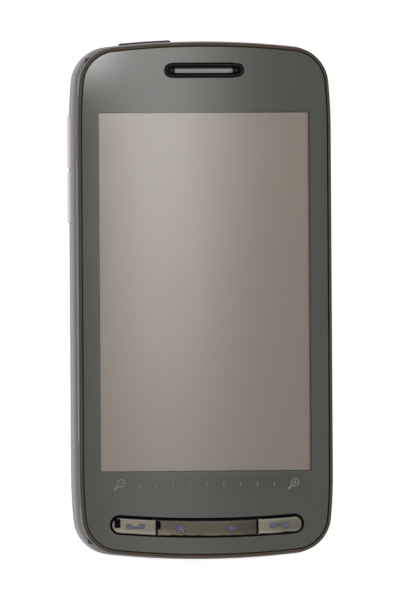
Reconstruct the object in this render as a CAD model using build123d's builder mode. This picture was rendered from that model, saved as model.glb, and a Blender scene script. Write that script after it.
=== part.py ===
from build123d import *
import os
from math import asin, atan2, cos, degrees, hypot

# Slider phone: a keyboard half with a display half that slides sideways off it and then tilts up.
# Millimetres. The phone lies on its back: +Z towards the display, +Y to its top end, +X to the side the
# display slides to. The origin is the centre of the flat back.

os.makedirs("parts", exist_ok=True)

LOW = (Align.CENTER, Align.CENTER, Align.MIN)
HIGH = (Align.CENTER, Align.CENTER, Align.MAX)

# ---- overall form -------------------------------------------------------------------------------------
display_half_width = 28.65
display_half_length = 57.95
base_side_overhang = 0.45   # the keyboard half stands this far out past the display half's sides
base_end_overhang = 0.4     # and this far past its ends
end_radius = 190.0          # gently bowed top and bottom ends
shoulder_radius = 110.0     # sides drawing in towards the corners
corner_radius = 8.5
shoulder_start = 19.2       # the sides are straight up to this far from the ends
base_height = 9.7           # back to the top of the keyboard deck
halves_gap = 0.3            # air between the deck and the display half
fit = 0.1                   # clearance between parts that stay together
edge_fit = 0.15             # clearance round keys and buttons
touch_gap = 0.05            # parts stacked on one another

# ---- display half -------------------------------------------------------------------------------------
back_inset = 0.15           # the back cover stands in from the trim ring
back_edge_radius = 2.4      # rounding of the back cover's edge, centred on the hinge axis
back_wall = 1.2
back_floor = 1.2
back_depth = 4.8
hinge_notch_rim = 0.4       # wall left over the notches that the hinges' barrels turn in
chassis_height = 3.15
trim_height = 2.45
trim_face_width = 0.67
trim_ledge_width = 2.0
trim_ledge_height = 1.0
trim_edge_radius = 0.5
glass_thickness = 1.2
glass_sink = 0.2            # the glass lies this far under the trim's crest
glass_edge_chamfer = 0.15
cover_screw_side_inset = 7.55
cover_screw_end_inset = 9.0
cover_screw_window_gap = 6.6
cover_screw_length = 3.2
driver_slot_length = 1.5
driver_slot_width = 0.3
driver_slot_depth = 0.2
lcd_side_inset = 3.25
lcd_top_inset = 14.15
lcd_bottom_inset = 17.35
lcd_thickness = 1.35

earpiece_inset = 6.25
earpiece_slot_length = 18.2
earpiece_slot_width = 3.5
earpiece_dish_length = 16.4
earpiece_dish_width = 2.1
earpiece_dish_depth = 0.5
earpiece_mouth_length = 13.3
earpiece_mouth_width = 1.25
earpiece_mouth_corner = 0.4
earpiece_foot = 0.2
grille_length = 14.4
grille_width = 2.0
grille_thickness = 0.3
grille_pitch = 0.45
grille_end_margin = 0.6
grille_hole_side = 0.22
capsule_length = 14.0
capsule_width = 5.0
capsule_height = 1.1
capsule_corner = 1.6

# ---- key strip under the display ----------------------------------------------------------------------
strip_end_inset = 6.7
strip_radius = 240.0        # the strip bows with the bottom end
strip_height = 3.85
strip_side_inset = 6.95
key_split_x = 11.4
key_split_gap = 0.35
key_flange_width = 0.35
key_flange_height = 0.3
key_flange_drop = 0.3       # room over the flanges for the rocker's swing
key_crown = 0.15            # key tops over the glass
key_edge_radius = 0.35
switch_board_height = 0.3
dome_radius = 1.6
dome_height = 0.15
dome_inset = 6.0            # send and end switches from the strip's ends
rocker_dome_inset = 3.4
pivot_radius = 0.3          # rib that the home and back rocker rolls on

# ---- hinge and slide ----------------------------------------------------------------------------------
hinge_end_inset = 19.0
barrel_length = 10.0
barrel_radius = 1.6
hinge_play = 0.15           # side play between barrel and ears
ear_width = 2.0
pin_radius = 0.6
pin_bore_play = 0.06
pin_ear_play = 0.02
leaf_thickness = 0.8
leaf_reach = 9.0            # hinge axis to the leaf's far edge
leaf_screw_reach = 6.8
leaf_screw_spacing = 6.0
hinge_screw_radius = 0.5
hinge_screw_head_radius = 1.0
hinge_screw_head_height = 0.3
hinge_screw_length = 2.2
carriage_thickness = 1.0
carriage_setback = 2.4      # hinge axis to the carriage plate
shoe_length = 12.0
shoe_neck_width = 1.4
shoe_foot_width = 3.6
shoe_foot_height = 1.1
shoe_corner = 0.6
rail_end_inset = 7.7        # rail's centre line from the base's end
rail_side_inset = 3.8       # rail's end from the base's side
rail_wall = 0.4
rail_play = 0.1
rail_end_stop = 0.5
flex_slot_length = 14.0
flex_slot_width = 5.0
carriage_margin = 1.2       # plate outside the shoe's neck
carriage_hole_length = 12.0
carriage_hole_width = 4.0
carriage_hole_pitch = 17.0

# ---- keyboard -----------------------------------------------------------------------------------------
deck_thickness = 1.2
deck_edge_radius = 0.5
key_rows = 5
key_columns = 12
key_row_gap = 1.05
key_column_gap = 0.85
keyboard_side_margin = 2.775
keyboard_screen_margin = 1.325
keyboard_rail_margin = 1.4
key_cap_thickness = 1.2
key_cap_sink = 0.1          # key tops lie this far under the deck's top
key_corner = 0.9
key_cap_chamfer = 0.3
key_well_depth = 0.3        # the keys lie in a shallow well of the deck
key_well_margin = 1.4
key_travel = 0.25
space_column = 4            # the space bar starts at this column
space_columns = 3
mat_thickness = 0.3
keypad_board_thickness = 0.6
keypad_board_margin = 0.45  # the board outside the keys' field

# ---- base half ----------------------------------------------------------------------------------------
base_wall = 1.2
base_floor = 2.0
base_edge_radius = 3.0
cover_thickness = 1.0
cover_inset = 2.0
cover_top_inset = 33.9      # the cover's seam from the base's top end
cover_grip_length = 14.0
cover_grip_width = 2.4
cover_grip_depth = 0.35
cover_grip_drop = 2.2
battery_side_gap = 3.3      # cell to the board's right edge
battery_top_gap = 2.5       # cell to the cover's seam
battery_bottom_gap = 12.3   # cell to the board's bottom edge
battery_thickness = 4.8
battery_corner = 1.2
battery_edge_radius = 0.2
battery_play = 0.2          # room round the cell in its bay
board_thickness = 0.8
board_gap = 0.25            # main board to the keypad board
board_rail_gap = 2.1
board_side_gap = 1.8        # board to the housing's wall
board_silo_gap = 0.25

side_key_height = 2.2
side_key_centre_z = 5.4
side_key_proud = 0.65
side_key_edge_radius = 0.4
side_key_travel = 0.25
side_key_flange = 0.4
volume_top_inset = 16.5
volume_up_length = 12.0
volume_down_length = 11.7
volume_gap = 0.6
power_key_side_inset = 11.1
power_key_length = 11.7
power_key_proud = 0.45

camera_x = 10.0
camera_end_inset = 7.6
camera_size = 8.0
camera_ring_radius = 4.1
camera_ring_height = 0.9
camera_ring_chamfer = 0.2
camera_lens_radius = 2.4
camera_lens_height = 0.6
camera_lens_sink = 0.4
camera_lens_edge_radius = 0.2
camera_snout_wall = 0.2
camera_ring_sink = 0.1
camera_height = 4.1

speaker_end_inset = 20.9
speaker_plate_length = 44.0
speaker_plate_width = 13.0
speaker_plate_thickness = 0.9
speaker_plate_sink = 0.25
speaker_ledge = 1.5         # the housing's ledge under the plate's edge
speaker_slot_length = 7.0
speaker_slot_width = 0.9
speaker_slot_pitch = 1.8
speaker_slot_rows = 5
speaker_slot_reach = 12.5
loudspeaker_length = 34.0
loudspeaker_width = 12.0
loudspeaker_height = 2.6
loudspeaker_corner = 3.0
mute_switch_side = 12.0
mute_switch_thickness = 0.5
mute_radius = 4.2
mute_edge_radius = 0.3
mute_flange_radius = 4.9
mute_travel = 0.25

stylus_side_inset = 4.1
stylus_z = 3.9
stylus_radius = 1.75
stylus_play = 0.1
silo_wall = 0.4
silo_top_inset = 11.9
silo_bottom_inset = 7.5
stylus_tip_length = 6.0
stylus_point_radius = 0.45
stylus_cap_radius = 2.1

usb_width = 9.0
usb_height = 3.6
usb_length = 8.0
usb_wall = 0.4
usb_corner = 0.9
usb_centre_z = 4.1
usb_tongue_height = 0.7
usb_tongue_width = 7.4
usb_inset = 0.8

microphone_usb_gap = 3.6
microphone_z = 4.1
microphone_radius = 1.9
microphone_length = 1.5
microphone_hole_radius = 0.5
antenna_side_inset = 5.4
antenna_usb_gap = 1.5
antenna_reach = 11.0
antenna_height = 3.6
contact_width = 10.0
contact_depth = 1.6
contact_height = 2.6
contact_gap = 0.4
component_gap = 0.7
component_corner = 0.5
shield_height = 1.7
socket_height = 1.5
sim_width = 16.0
card_width = 12.0
processor_length = 26.0
processor_drop = 14.0
motor_side_gap = 1.2        # motor to the housing's wall
motor_y = 6.0
motor_radius = 1.9
motor_length = 10.0
power_switch_width = 5.0
power_switch_depth = 1.8
power_switch_height = 4.3
power_switch_clear = 0.8    # the end wall bows away from the switch
side_switch_thickness = 0.15
side_switch_radius = 0.8
side_board_thickness = 0.4

screw_radius = 0.7
screw_head_radius = 1.25
screw_head_height = 0.45
screw_length = 4.6
boss_radius = 1.5
boss_side_inset = 11.9
boss_key_gap = 1.9          # boss to the power key's end

# ---- places in plan that follow -----------------------------------------------------------------------
base_half_width = display_half_width + base_side_overhang
base_half_length = display_half_length + base_end_overhang
rail_y = base_half_length - rail_end_inset
rail_half_length = base_half_width - rail_side_inset
hinge_x = -(display_half_width - back_inset - back_edge_radius)
hinge_y = display_half_length - hinge_end_inset
carriage_x0 = hinge_x + carriage_setback
carriage_x1 = carriage_x0 + shoe_length
slide_travel = rail_half_length - rail_end_stop - carriage_x1
rail_inner_width = shoe_foot_width + 2 * rail_play
rail_outer_half = rail_inner_width / 2 + rail_wall
cover_screw_right = display_half_width - cover_screw_side_inset
cover_screw_left = carriage_x1 + cover_screw_window_gap
cover_screw_x = (cover_screw_left + cover_screw_right) / 2
cover_screw_span_x = cover_screw_right - cover_screw_left
cover_screw_span_y = 2 * (display_half_length - cover_screw_end_inset)
keyboard_x0 = -base_half_width + keyboard_side_margin
keyboard_x1 = slide_travel - display_half_width - keyboard_screen_margin
keyboard_centre_x = (keyboard_x0 + keyboard_x1) / 2
key_row_pitch = (keyboard_x1 - keyboard_x0) / key_rows
key_column_pitch = 2 * (rail_y - rail_outer_half - keyboard_rail_margin) / key_columns
key_depth = key_row_pitch - key_row_gap
key_width = key_column_pitch - key_column_gap
lcd_top_y = display_half_length - lcd_top_inset
lcd_bottom_y = lcd_bottom_inset - display_half_length
earpiece_y = display_half_length - earpiece_inset
strip_centre_y = strip_end_inset - display_half_length
strip_half_length = display_half_width - strip_side_inset
stylus_x = base_half_width - stylus_side_inset
silo_radius = stylus_radius + stylus_play + silo_wall
silo_top_y = base_half_length - silo_top_inset
silo_bottom_y = silo_bottom_inset - base_half_length
board_left_x = -(base_half_width - base_wall - board_side_gap)
board_right_x = stylus_x - silo_radius - board_silo_gap
board_half_length = rail_y - rail_outer_half - board_rail_gap
cover_top_y = base_half_length - cover_top_inset
battery_width = 2 * (board_right_x - battery_side_gap)
battery_top_y = cover_top_y - battery_top_gap
battery_bottom_y = battery_bottom_gap - board_half_length
speaker_y = base_half_length - speaker_end_inset
camera_y = base_half_length - camera_end_inset
volume_up_y = (
    base_half_length - volume_top_inset - volume_up_length,
    base_half_length - volume_top_inset,
)
volume_down_y = (volume_up_y[0] - volume_gap - volume_down_length, volume_up_y[0] - volume_gap)
power_key_x = (
    power_key_side_inset - base_half_width,
    power_key_side_inset - base_half_width + power_key_length,
)
boss_y = rail_y + rail_outer_half + fit + boss_radius
boss_top_x = (power_key_x[1] + boss_key_gap + boss_radius, base_half_width - boss_side_inset)
boss_bottom_x = (boss_side_inset - base_half_width, base_half_width - boss_side_inset)
microphone_x = usb_width / 2 + microphone_usb_gap + microphone_radius
motor_x = -(base_half_width - base_wall - motor_side_gap - motor_radius)

# ---- heights that follow ------------------------------------------------------------------------------
deck_z = base_height - deck_thickness
display_z = base_height + halves_gap
chassis_z = display_z + back_floor + touch_gap
chassis_top_z = chassis_z + chassis_height
trim_z = display_z + back_depth
trim_top_z = trim_z + trim_height
glass_top_z = trim_top_z - glass_sink
glass_z = glass_top_z - glass_thickness
lcd_z = chassis_top_z + touch_gap
hinge_z = display_z + back_edge_radius
rail_height = shoe_foot_height + 2 * rail_play + 2 * rail_wall
rail_z = deck_z - rail_height
cap_z = base_height - key_cap_sink - key_cap_thickness
mat_z = cap_z - key_travel - fit - mat_thickness
keypad_board_z = mat_z - touch_gap - keypad_board_thickness
board_z = keypad_board_z - board_gap - board_thickness
battery_z = cover_thickness + 2 * fit


def phone_outline(half_width, half_length, grow=0.0):
    """Face of the phone's outline: straight sides, drawn-in shoulders, round corners and bowed ends."""
    end_centre = (0.0, half_length - end_radius)
    straight_half = half_length - shoulder_start
    side_centre = (half_width - shoulder_radius, straight_half)
    to_end = end_radius - corner_radius
    to_side = shoulder_radius - corner_radius
    dx = side_centre[0] - end_centre[0]
    dy = side_centre[1] - end_centre[1]
    span = hypot(dx, dy)
    along = (to_end**2 - to_side**2 + span**2) / (2 * span)
    across = (to_end**2 - along**2) ** 0.5
    corner_x = end_centre[0] + (along * dx + across * dy) / span
    corner_y = end_centre[1] + (along * dy - across * dx) / span
    if corner_x < 0:
        corner_x = end_centre[0] + (along * dx - across * dy) / span
        corner_y = end_centre[1] + (along * dy + across * dx) / span
    side_turn = degrees(atan2(corner_y - side_centre[1], corner_x - side_centre[0]))
    end_turn = degrees(atan2(corner_y - end_centre[1], corner_x - end_centre[0]))
    with BuildSketch() as outline:
        with BuildLine():
            Line((half_width + grow, 0), (half_width + grow, straight_half))
            CenterArc(side_centre, shoulder_radius + grow, 0, side_turn)
            CenterArc((corner_x, corner_y), corner_radius + grow, side_turn, end_turn - side_turn)
            CenterArc(end_centre, end_radius + grow, end_turn, 90 - end_turn)
            mirror(about=Plane.YZ)
            mirror(about=Plane.XZ)
        make_face()
    return outline.sketch


def display_outline(grow=0.0):
    return phone_outline(display_half_width, display_half_length, grow)


def base_outline(grow=0.0):
    return phone_outline(base_half_width, base_half_length, grow)


def strip_slot(height):
    """Face of the bowed slot that the display's keys lie in, as tall as height."""
    reach = strip_half_length - strip_height / 2
    half_angle = degrees(asin(reach / strip_radius))
    centre = (0, strip_centre_y + strip_radius)
    with BuildSketch() as slot:
        SlotArc(CenterArc(centre, strip_radius, 270 - half_angle, 2 * half_angle), height)
    return slot.sketch


def strip_y(x):
    """Height along the strip's centre line at x."""
    return strip_centre_y + strip_radius * (1 - cos(asin(x / strip_radius)))


def save(piece, name):
    piece.part.label = name
    export_step(piece.part, f"parts/{name}.step")


# ==== display half ======================================================================================

hinge_ends = [hinge_y, -hinge_y]
leaf_length = barrel_length + 2 * (hinge_play + ear_width)
leaf_bay = leaf_length + 2 * edge_fit
leaf_z = hinge_z - leaf_thickness
leaf_far_x = hinge_x + leaf_reach
barrel_bay_x = hinge_x + barrel_radius + halves_gap

# Back cover: a shallow tub with the hinge bays and the carriage window open through its floor.
window_x0 = hinge_x + touch_gap
window_x1 = carriage_x1 + halves_gap
carriage_half_y = rail_y + shoe_neck_width / 2 + carriage_margin
window_half_y = carriage_half_y + halves_gap
with BuildPart() as back_cover:
    with BuildSketch(Plane.XY.offset(display_z)):
        add(display_outline(-back_inset))
    extrude(amount=back_depth)
    fillet(back_cover.faces().sort_by(Axis.Z)[0].edges(), back_edge_radius)
    with BuildSketch(Plane.XY.offset(display_z + back_floor)):
        add(display_outline(-back_inset - back_wall))
    extrude(amount=back_depth, mode=Mode.SUBTRACT)
    with Locations(((window_x0 + window_x1) / 2, 0, display_z - fit)):
        Box(window_x1 - window_x0, 2 * window_half_y, back_floor + 2 * fit, align=LOW, mode=Mode.SUBTRACT)
    with Locations(*[(barrel_bay_x, y, display_z - fit) for y in hinge_ends]):
        Box(
            3 * leaf_reach,
            leaf_bay,
            back_depth - hinge_notch_rim + fit,
            align=(Align.MAX, Align.CENTER, Align.MIN),
            mode=Mode.SUBTRACT,
        )
    with BuildSketch(Plane.XY.offset(display_z)):
        with Locations((cover_screw_x, 0)):
            with GridLocations(cover_screw_span_x, cover_screw_span_y, 2, 2):
                Circle(screw_head_radius + fit)
    extrude(amount=screw_head_height + fit, mode=Mode.SUBTRACT)
    with BuildSketch(Plane.XY.offset(display_z)):
        with Locations((cover_screw_x, 0)):
            with GridLocations(cover_screw_span_x, cover_screw_span_y, 2, 2):
                Circle(screw_radius + fit)
    extrude(amount=back_floor + fit, mode=Mode.SUBTRACT)
save(back_cover, "display_back_cover")

with BuildPart() as cover_screws:
    with Locations((cover_screw_x, 0, display_z + touch_gap)):
        with GridLocations(cover_screw_span_x, cover_screw_span_y, 2, 2):
            Cylinder(screw_head_radius, screw_head_height, align=LOW)
            Cylinder(screw_radius, cover_screw_length, align=LOW)
    with BuildSketch(Plane.XY.offset(display_z + touch_gap)):
        with Locations((cover_screw_x, 0)):
            with GridLocations(cover_screw_span_x, cover_screw_span_y, 2, 2):
                Rectangle(driver_slot_length, driver_slot_width)
                Rectangle(driver_slot_width, driver_slot_length)
    extrude(amount=driver_slot_depth, mode=Mode.SUBTRACT)
save(cover_screws, "display_cover_screws")

# Chassis: the frame that carries the display, with bays under it for the hinges.
with BuildPart() as chassis:
    with BuildSketch(Plane.XY.offset(chassis_z)):
        add(display_outline(-back_inset - back_wall - touch_gap))
    extrude(amount=chassis_height)
    for y in hinge_ends:
        with Locations((leaf_far_x + halves_gap, y, chassis_z)):
            Box(
                3 * leaf_reach,
                leaf_bay,
                leaf_z + leaf_thickness + touch_gap - chassis_z,
                align=(Align.MAX, Align.CENTER, Align.MIN),
                mode=Mode.SUBTRACT,
            )
        with Locations((barrel_bay_x, y, chassis_z)):
            Box(
                3 * leaf_reach,
                leaf_bay,
                chassis_height,
                align=(Align.MAX, Align.CENTER, Align.MIN),
                mode=Mode.SUBTRACT,
            )
        with BuildSketch(Plane.XY.offset(chassis_z)):
            with Locations((hinge_x + leaf_screw_reach, y)):
                with GridLocations(0, leaf_screw_spacing, 1, 2):
                    Circle(hinge_screw_radius + touch_gap)
        extrude(amount=leaf_z + hinge_screw_length + touch_gap - chassis_z, mode=Mode.SUBTRACT)
    with BuildSketch(Plane.XY.offset(chassis_z)):
        with Locations((cover_screw_x, 0)):
            with GridLocations(cover_screw_span_x, cover_screw_span_y, 2, 2):
                Circle(screw_radius + touch_gap)
    extrude(amount=cover_screw_length - back_floor, mode=Mode.SUBTRACT)
save(chassis, "display_chassis")

with BuildPart() as lcd:
    with BuildSketch(Plane.XY.offset(lcd_z)):
        with Locations((0, (lcd_top_y + lcd_bottom_y) / 2)):
            Rectangle(2 * (display_half_width - lcd_side_inset), lcd_top_y - lcd_bottom_y)
    extrude(amount=lcd_thickness)
    chamfer(lcd.edges().filter_by(Axis.Z), fit)
save(lcd, "lcd_module")

# Trim ring: a metal frame with a ledge that the glass lies on.
with BuildPart() as trim:
    with BuildSketch(Plane.XY.offset(trim_z)):
        add(display_outline())
        add(display_outline(-trim_ledge_width), mode=Mode.SUBTRACT)
    extrude(amount=trim_height)
    with BuildSketch(Plane.XY.offset(trim_z + trim_ledge_height)):
        add(display_outline(-trim_face_width))
    extrude(amount=trim_height, mode=Mode.SUBTRACT)
    crest = trim.faces().sort_by(Axis.Z)[-1]
    fillet(crest.outer_wire().edges(), trim_edge_radius)
save(trim, "front_trim_ring")

with BuildPart() as glass:
    with BuildSketch(Plane.XY.offset(glass_z)):
        add(display_outline(-trim_face_width - edge_fit))
        with Locations((0, earpiece_y)):
            SlotOverall(earpiece_slot_length, earpiece_slot_width, mode=Mode.SUBTRACT)
        add(strip_slot(strip_height), mode=Mode.SUBTRACT)
    extrude(amount=glass_thickness)
    chamfer(glass.faces().sort_by(Axis.Z)[-1].outer_wire().edges(), glass_edge_chamfer)
save(glass, "front_glass")

bezel_length = earpiece_slot_length - 2 * fit
bezel_width = earpiece_slot_width - 2 * fit
grille_z = glass_z + touch_gap
grille_holes = int((grille_length - 2 * grille_end_margin) / grille_pitch) + 1
with BuildPart() as earpiece_bezel:
    with BuildSketch(Plane.XY.offset(glass_z - earpiece_foot)):
        with Locations((0, earpiece_y)):
            SlotOverall(bezel_length, bezel_width)
            RectangleRounded(
                earpiece_mouth_length,
                earpiece_mouth_width,
                earpiece_mouth_corner,
                mode=Mode.SUBTRACT,
            )
    extrude(amount=glass_thickness + earpiece_foot - touch_gap)
    with BuildSketch(Plane.XY.offset(glass_z - earpiece_foot)):
        with Locations((0, earpiece_y)):
            SlotOverall(grille_length + 2 * fit, grille_width + 2 * fit)
    extrude(amount=earpiece_foot + grille_thickness + 2 * touch_gap, mode=Mode.SUBTRACT)
    with BuildSketch(Plane.XY.offset(glass_top_z)):
        with Locations((0, earpiece_y)):
            SlotOverall(earpiece_dish_length, earpiece_dish_width)
    extrude(amount=-earpiece_dish_depth, mode=Mode.SUBTRACT)
save(earpiece_bezel, "earpiece_bezel")

with BuildPart() as earpiece_grille:
    with BuildSketch(Plane.XY.offset(grille_z)):
        with Locations((0, earpiece_y)):
            SlotOverall(grille_length, grille_width)
        with Locations((0, earpiece_y)):
            with GridLocations(grille_pitch, 2 * grille_pitch, grille_holes, 2):
                Rectangle(grille_hole_side, grille_hole_side, mode=Mode.SUBTRACT)
            with GridLocations(grille_pitch, 0, grille_holes - 1, 1):
                Rectangle(grille_hole_side, grille_hole_side, mode=Mode.SUBTRACT)
    extrude(amount=grille_thickness)
save(earpiece_grille, "earpiece_grille")

with BuildPart() as capsule:
    with BuildSketch(Plane.XY.offset(lcd_z)):
        with Locations((0, earpiece_y)):
            RectangleRounded(capsule_length, capsule_width, capsule_corner)
    extrude(amount=capsule_height)
save(capsule, "earpiece_capsule")

# ---- keys under the display ----------------------------------------------------------------------------

dome_reach = strip_half_length - dome_inset
rocker_dome_reach = key_split_x - rocker_dome_inset
with BuildPart() as switch_board:
    with BuildSketch(Plane.XY.offset(lcd_z)):
        add(strip_slot(strip_height + 2 * key_flange_width))
    extrude(amount=switch_board_height)
    with BuildSketch(Plane.XY.offset(lcd_z + switch_board_height)):
        for x in (-dome_reach, -rocker_dome_reach, rocker_dome_reach, dome_reach):
            with Locations((x, strip_y(x))):
                Circle(dome_radius)
        with Locations((0, strip_centre_y)):
            Rectangle(2 * pivot_radius, strip_height)
    extrude(amount=dome_height)
save(switch_board, "key_switch_board")


def strip_key_face(low_x, high_x, height):
    """Face of one key: the part of the bowed slot between two upright lines."""
    with BuildSketch() as face:
        add(strip_slot(height))
        with Locations(((low_x + high_x) / 2, strip_centre_y)):
            Rectangle(high_x - low_x, 3 * strip_height, mode=Mode.INTERSECT)
    return face.sketch


flange_z = glass_z - key_flange_drop - key_flange_height
strip_keys = {
    "end_key": (key_split_x + key_split_gap / 2, 2 * strip_half_length),
    "home_back_key": (-key_split_x + key_split_gap / 2, key_split_x - key_split_gap / 2),
    "send_key": (-2 * strip_half_length, -key_split_x - key_split_gap / 2),
}
for key_name, (low_x, high_x) in strip_keys.items():
    with BuildPart() as strip_key:
        with BuildSketch(Plane.XY.offset(flange_z)):
            add(strip_key_face(low_x, high_x, strip_height - 2 * edge_fit))
        extrude(amount=glass_top_z + key_crown - flange_z)
        fillet(strip_key.faces().sort_by(Axis.Z)[-1].edges(), key_edge_radius)
        with BuildSketch(Plane.XY.offset(flange_z)):
            add(strip_key_face(low_x, high_x, strip_height + 2 * key_flange_width))
        extrude(amount=key_flange_height)
        if low_x < 0 < high_x:
            with Locations((0, strip_centre_y, flange_z)):
                Cylinder(pivot_radius, strip_height, rotation=(90, 0, 0))
    save(strip_key, key_name)

# ---- hinge ---------------------------------------------------------------------------------------------

ear_offset = (barrel_length + ear_width) / 2 + hinge_play
for leaf_name, y in (("hinge_leaf_top", hinge_y), ("hinge_leaf_bottom", -hinge_y)):
    with BuildPart() as leaf:
        with Locations((leaf_far_x, y, leaf_z)):
            Box(
                leaf_far_x - barrel_bay_x,
                leaf_length,
                leaf_thickness,
                align=(Align.MAX, Align.CENTER, Align.MIN),
            )
        fillet(leaf.edges().filter_by(Axis.Z).group_by(Axis.X)[-1], ear_width / 2)
        for side in (-1, 1):
            with Locations((hinge_x, y + side * ear_offset, leaf_z)):
                Box(
                    barrel_bay_x - hinge_x,
                    ear_width,
                    leaf_thickness,
                    align=(Align.MIN, Align.CENTER, Align.MIN),
                )
            with Locations((hinge_x, y + side * ear_offset, hinge_z)):
                Cylinder(barrel_radius, ear_width, rotation=(90, 0, 0))
        with Locations((hinge_x, y, hinge_z)):
            Cylinder(pin_radius + pin_ear_play, 2 * leaf_length, rotation=(90, 0, 0), mode=Mode.SUBTRACT)
        with Locations((hinge_x + leaf_screw_reach, y, leaf_z)):
            with GridLocations(0, leaf_screw_spacing, 1, 2):
                Cylinder(hinge_screw_radius + touch_gap, leaf_thickness, align=LOW, mode=Mode.SUBTRACT)
    save(leaf, leaf_name)

with BuildPart() as pins:
    with Locations(*[(hinge_x, y, hinge_z) for y in hinge_ends]):
        Cylinder(pin_radius, leaf_length, rotation=(90, 0, 0))
    chamfer(pins.edges(), fit)
save(pins, "hinge_pins")

with BuildPart() as hinge_screws:
    with Locations(*[(hinge_x + leaf_screw_reach, y, leaf_z) for y in hinge_ends]):
        with GridLocations(0, leaf_screw_spacing, 1, 2):
            Cylinder(hinge_screw_head_radius, hinge_screw_head_height, align=HIGH)
            Cylinder(hinge_screw_radius, hinge_screw_length, align=LOW)
save(hinge_screws, "hinge_screws")

# ---- slide ---------------------------------------------------------------------------------------------

# Carriage: a pressed plate that rides on four shoes' rails and ends in two hinge barrels.
with BuildPart() as carriage:
    with BuildSketch(Plane.XY.offset(display_z)):
        with Locations(((carriage_x0 + carriage_x1) / 2, 0)):
            RectangleRounded(shoe_length, 2 * carriage_half_y, carriage_margin)
            with GridLocations(0, 2 * carriage_hole_pitch, 1, 2):
                SlotOverall(carriage_hole_length, carriage_hole_width, rotation=90, mode=Mode.SUBTRACT)
            RectangleRounded(flex_slot_width, flex_slot_length, carriage_margin, mode=Mode.SUBTRACT)
    extrude(amount=carriage_thickness)
    for y in hinge_ends:
        with Locations((hinge_x, y, display_z + touch_gap)):
            Box(
                carriage_setback + carriage_margin,
                barrel_length,
                carriage_thickness,
                align=(Align.MIN, Align.CENTER, Align.MIN),
            )
        with Locations((hinge_x, y, hinge_z)):
            Cylinder(barrel_radius, barrel_length, rotation=(90, 0, 0))
            Cylinder(
                pin_radius + pin_bore_play,
                2 * barrel_length,
                rotation=(90, 0, 0),
                mode=Mode.SUBTRACT,
            )
save(carriage, "slide_carriage")

rail_ends = [rail_y, -rail_y]
shoe_centre_x = (carriage_x0 + carriage_x1) / 2
foot_z = rail_z + rail_wall + rail_play
with BuildPart() as shoes:
    with Locations(*[(shoe_centre_x, y, foot_z) for y in rail_ends]):
        Box(shoe_length, shoe_foot_width, shoe_foot_height, align=LOW)
    chamfer(shoes.edges().filter_by(Axis.Z), shoe_corner)
    with BuildSketch(Plane.XY.offset(foot_z + shoe_foot_height)):
        with Locations(*[(shoe_centre_x, y) for y in rail_ends]):
            SlotOverall(shoe_length - carriage_margin, shoe_neck_width)
    extrude(amount=display_z - foot_z - shoe_foot_height)
save(shoes, "slide_shoes")

rail_mouth = shoe_neck_width + 2 * rail_play
with BuildPart() as rails:
    with BuildSketch(Plane.YZ.offset(-rail_half_length)):
        for y in rail_ends:
            with Locations((y, rail_z + rail_height / 2)):
                Rectangle(rail_inner_width + 2 * rail_wall, rail_height)
                Rectangle(rail_inner_width, rail_height - 2 * rail_wall, mode=Mode.SUBTRACT)
            with Locations((y, rail_z + rail_height - rail_wall / 2)):
                Rectangle(rail_mouth, rail_wall, mode=Mode.SUBTRACT)
    extrude(amount=2 * rail_half_length)
    for side in (-1, 1):
        with Locations(*[(side * (rail_half_length - rail_wall / 2), y, rail_z) for y in rail_ends]):
            Box(rail_wall, rail_inner_width + rail_wall, rail_height - rail_wall, align=LOW)
save(rails, "guide_rails")

# ==== base half =========================================================================================


def cover_panel(grow=0.0):
    """Face of the battery cover, which ends in a straight seam near the top."""
    with BuildSketch() as panel:
        add(base_outline(grow - cover_inset))
        with Locations((0, cover_top_y + grow)):
            Rectangle(
                4 * base_half_width,
                2 * base_half_length,
                align=(Align.CENTER, Align.MIN),
                mode=Mode.SUBTRACT,
            )
    return panel.sketch


def rim_band(outer_grow, inner_grow, centre, width, length):
    """Face of the part of the base's rim, between two offsets of its outline, in a rectangle."""
    with BuildSketch() as band:
        add(base_outline(outer_grow))
        add(base_outline(inner_grow), mode=Mode.SUBTRACT)
        with Locations(centre):
            Rectangle(width, length, mode=Mode.INTERSECT)
    return band.sketch


def key_places(row):
    """Centres of the single keys of one row, the row by the display first."""
    x = keyboard_centre_x + ((key_rows - 1) / 2 - row) * key_row_pitch
    places = []
    for column in range(key_columns):
        in_space = space_column <= column < space_column + space_columns
        if row < key_rows - 1 or not in_space:
            places.append((x, ((key_columns - 1) / 2 - column) * key_column_pitch))
    return places


space_x = keyboard_centre_x - (key_rows - 1) / 2 * key_row_pitch
space_y = ((key_columns - space_columns) / 2 - space_column) * key_column_pitch
space_width = key_width + (space_columns - 1) * key_column_pitch
boss_places = [(x, boss_y) for x in boss_top_x] + [(x, -boss_y) for x in boss_bottom_x]
boss_z = base_floor + touch_gap
screw_z = cover_thickness + fit
side_keys = {"volume_up_key": volume_up_y, "volume_down_key": volume_down_y}
power_centre = (sum(power_key_x) / 2, base_half_length)
power_width = power_key_x[1] - power_key_x[0]
key_band = 4 * (base_wall + side_key_flange + side_key_proud)

battery_centre_y = (battery_top_y + battery_bottom_y) / 2
battery_length = battery_top_y - battery_bottom_y

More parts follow.
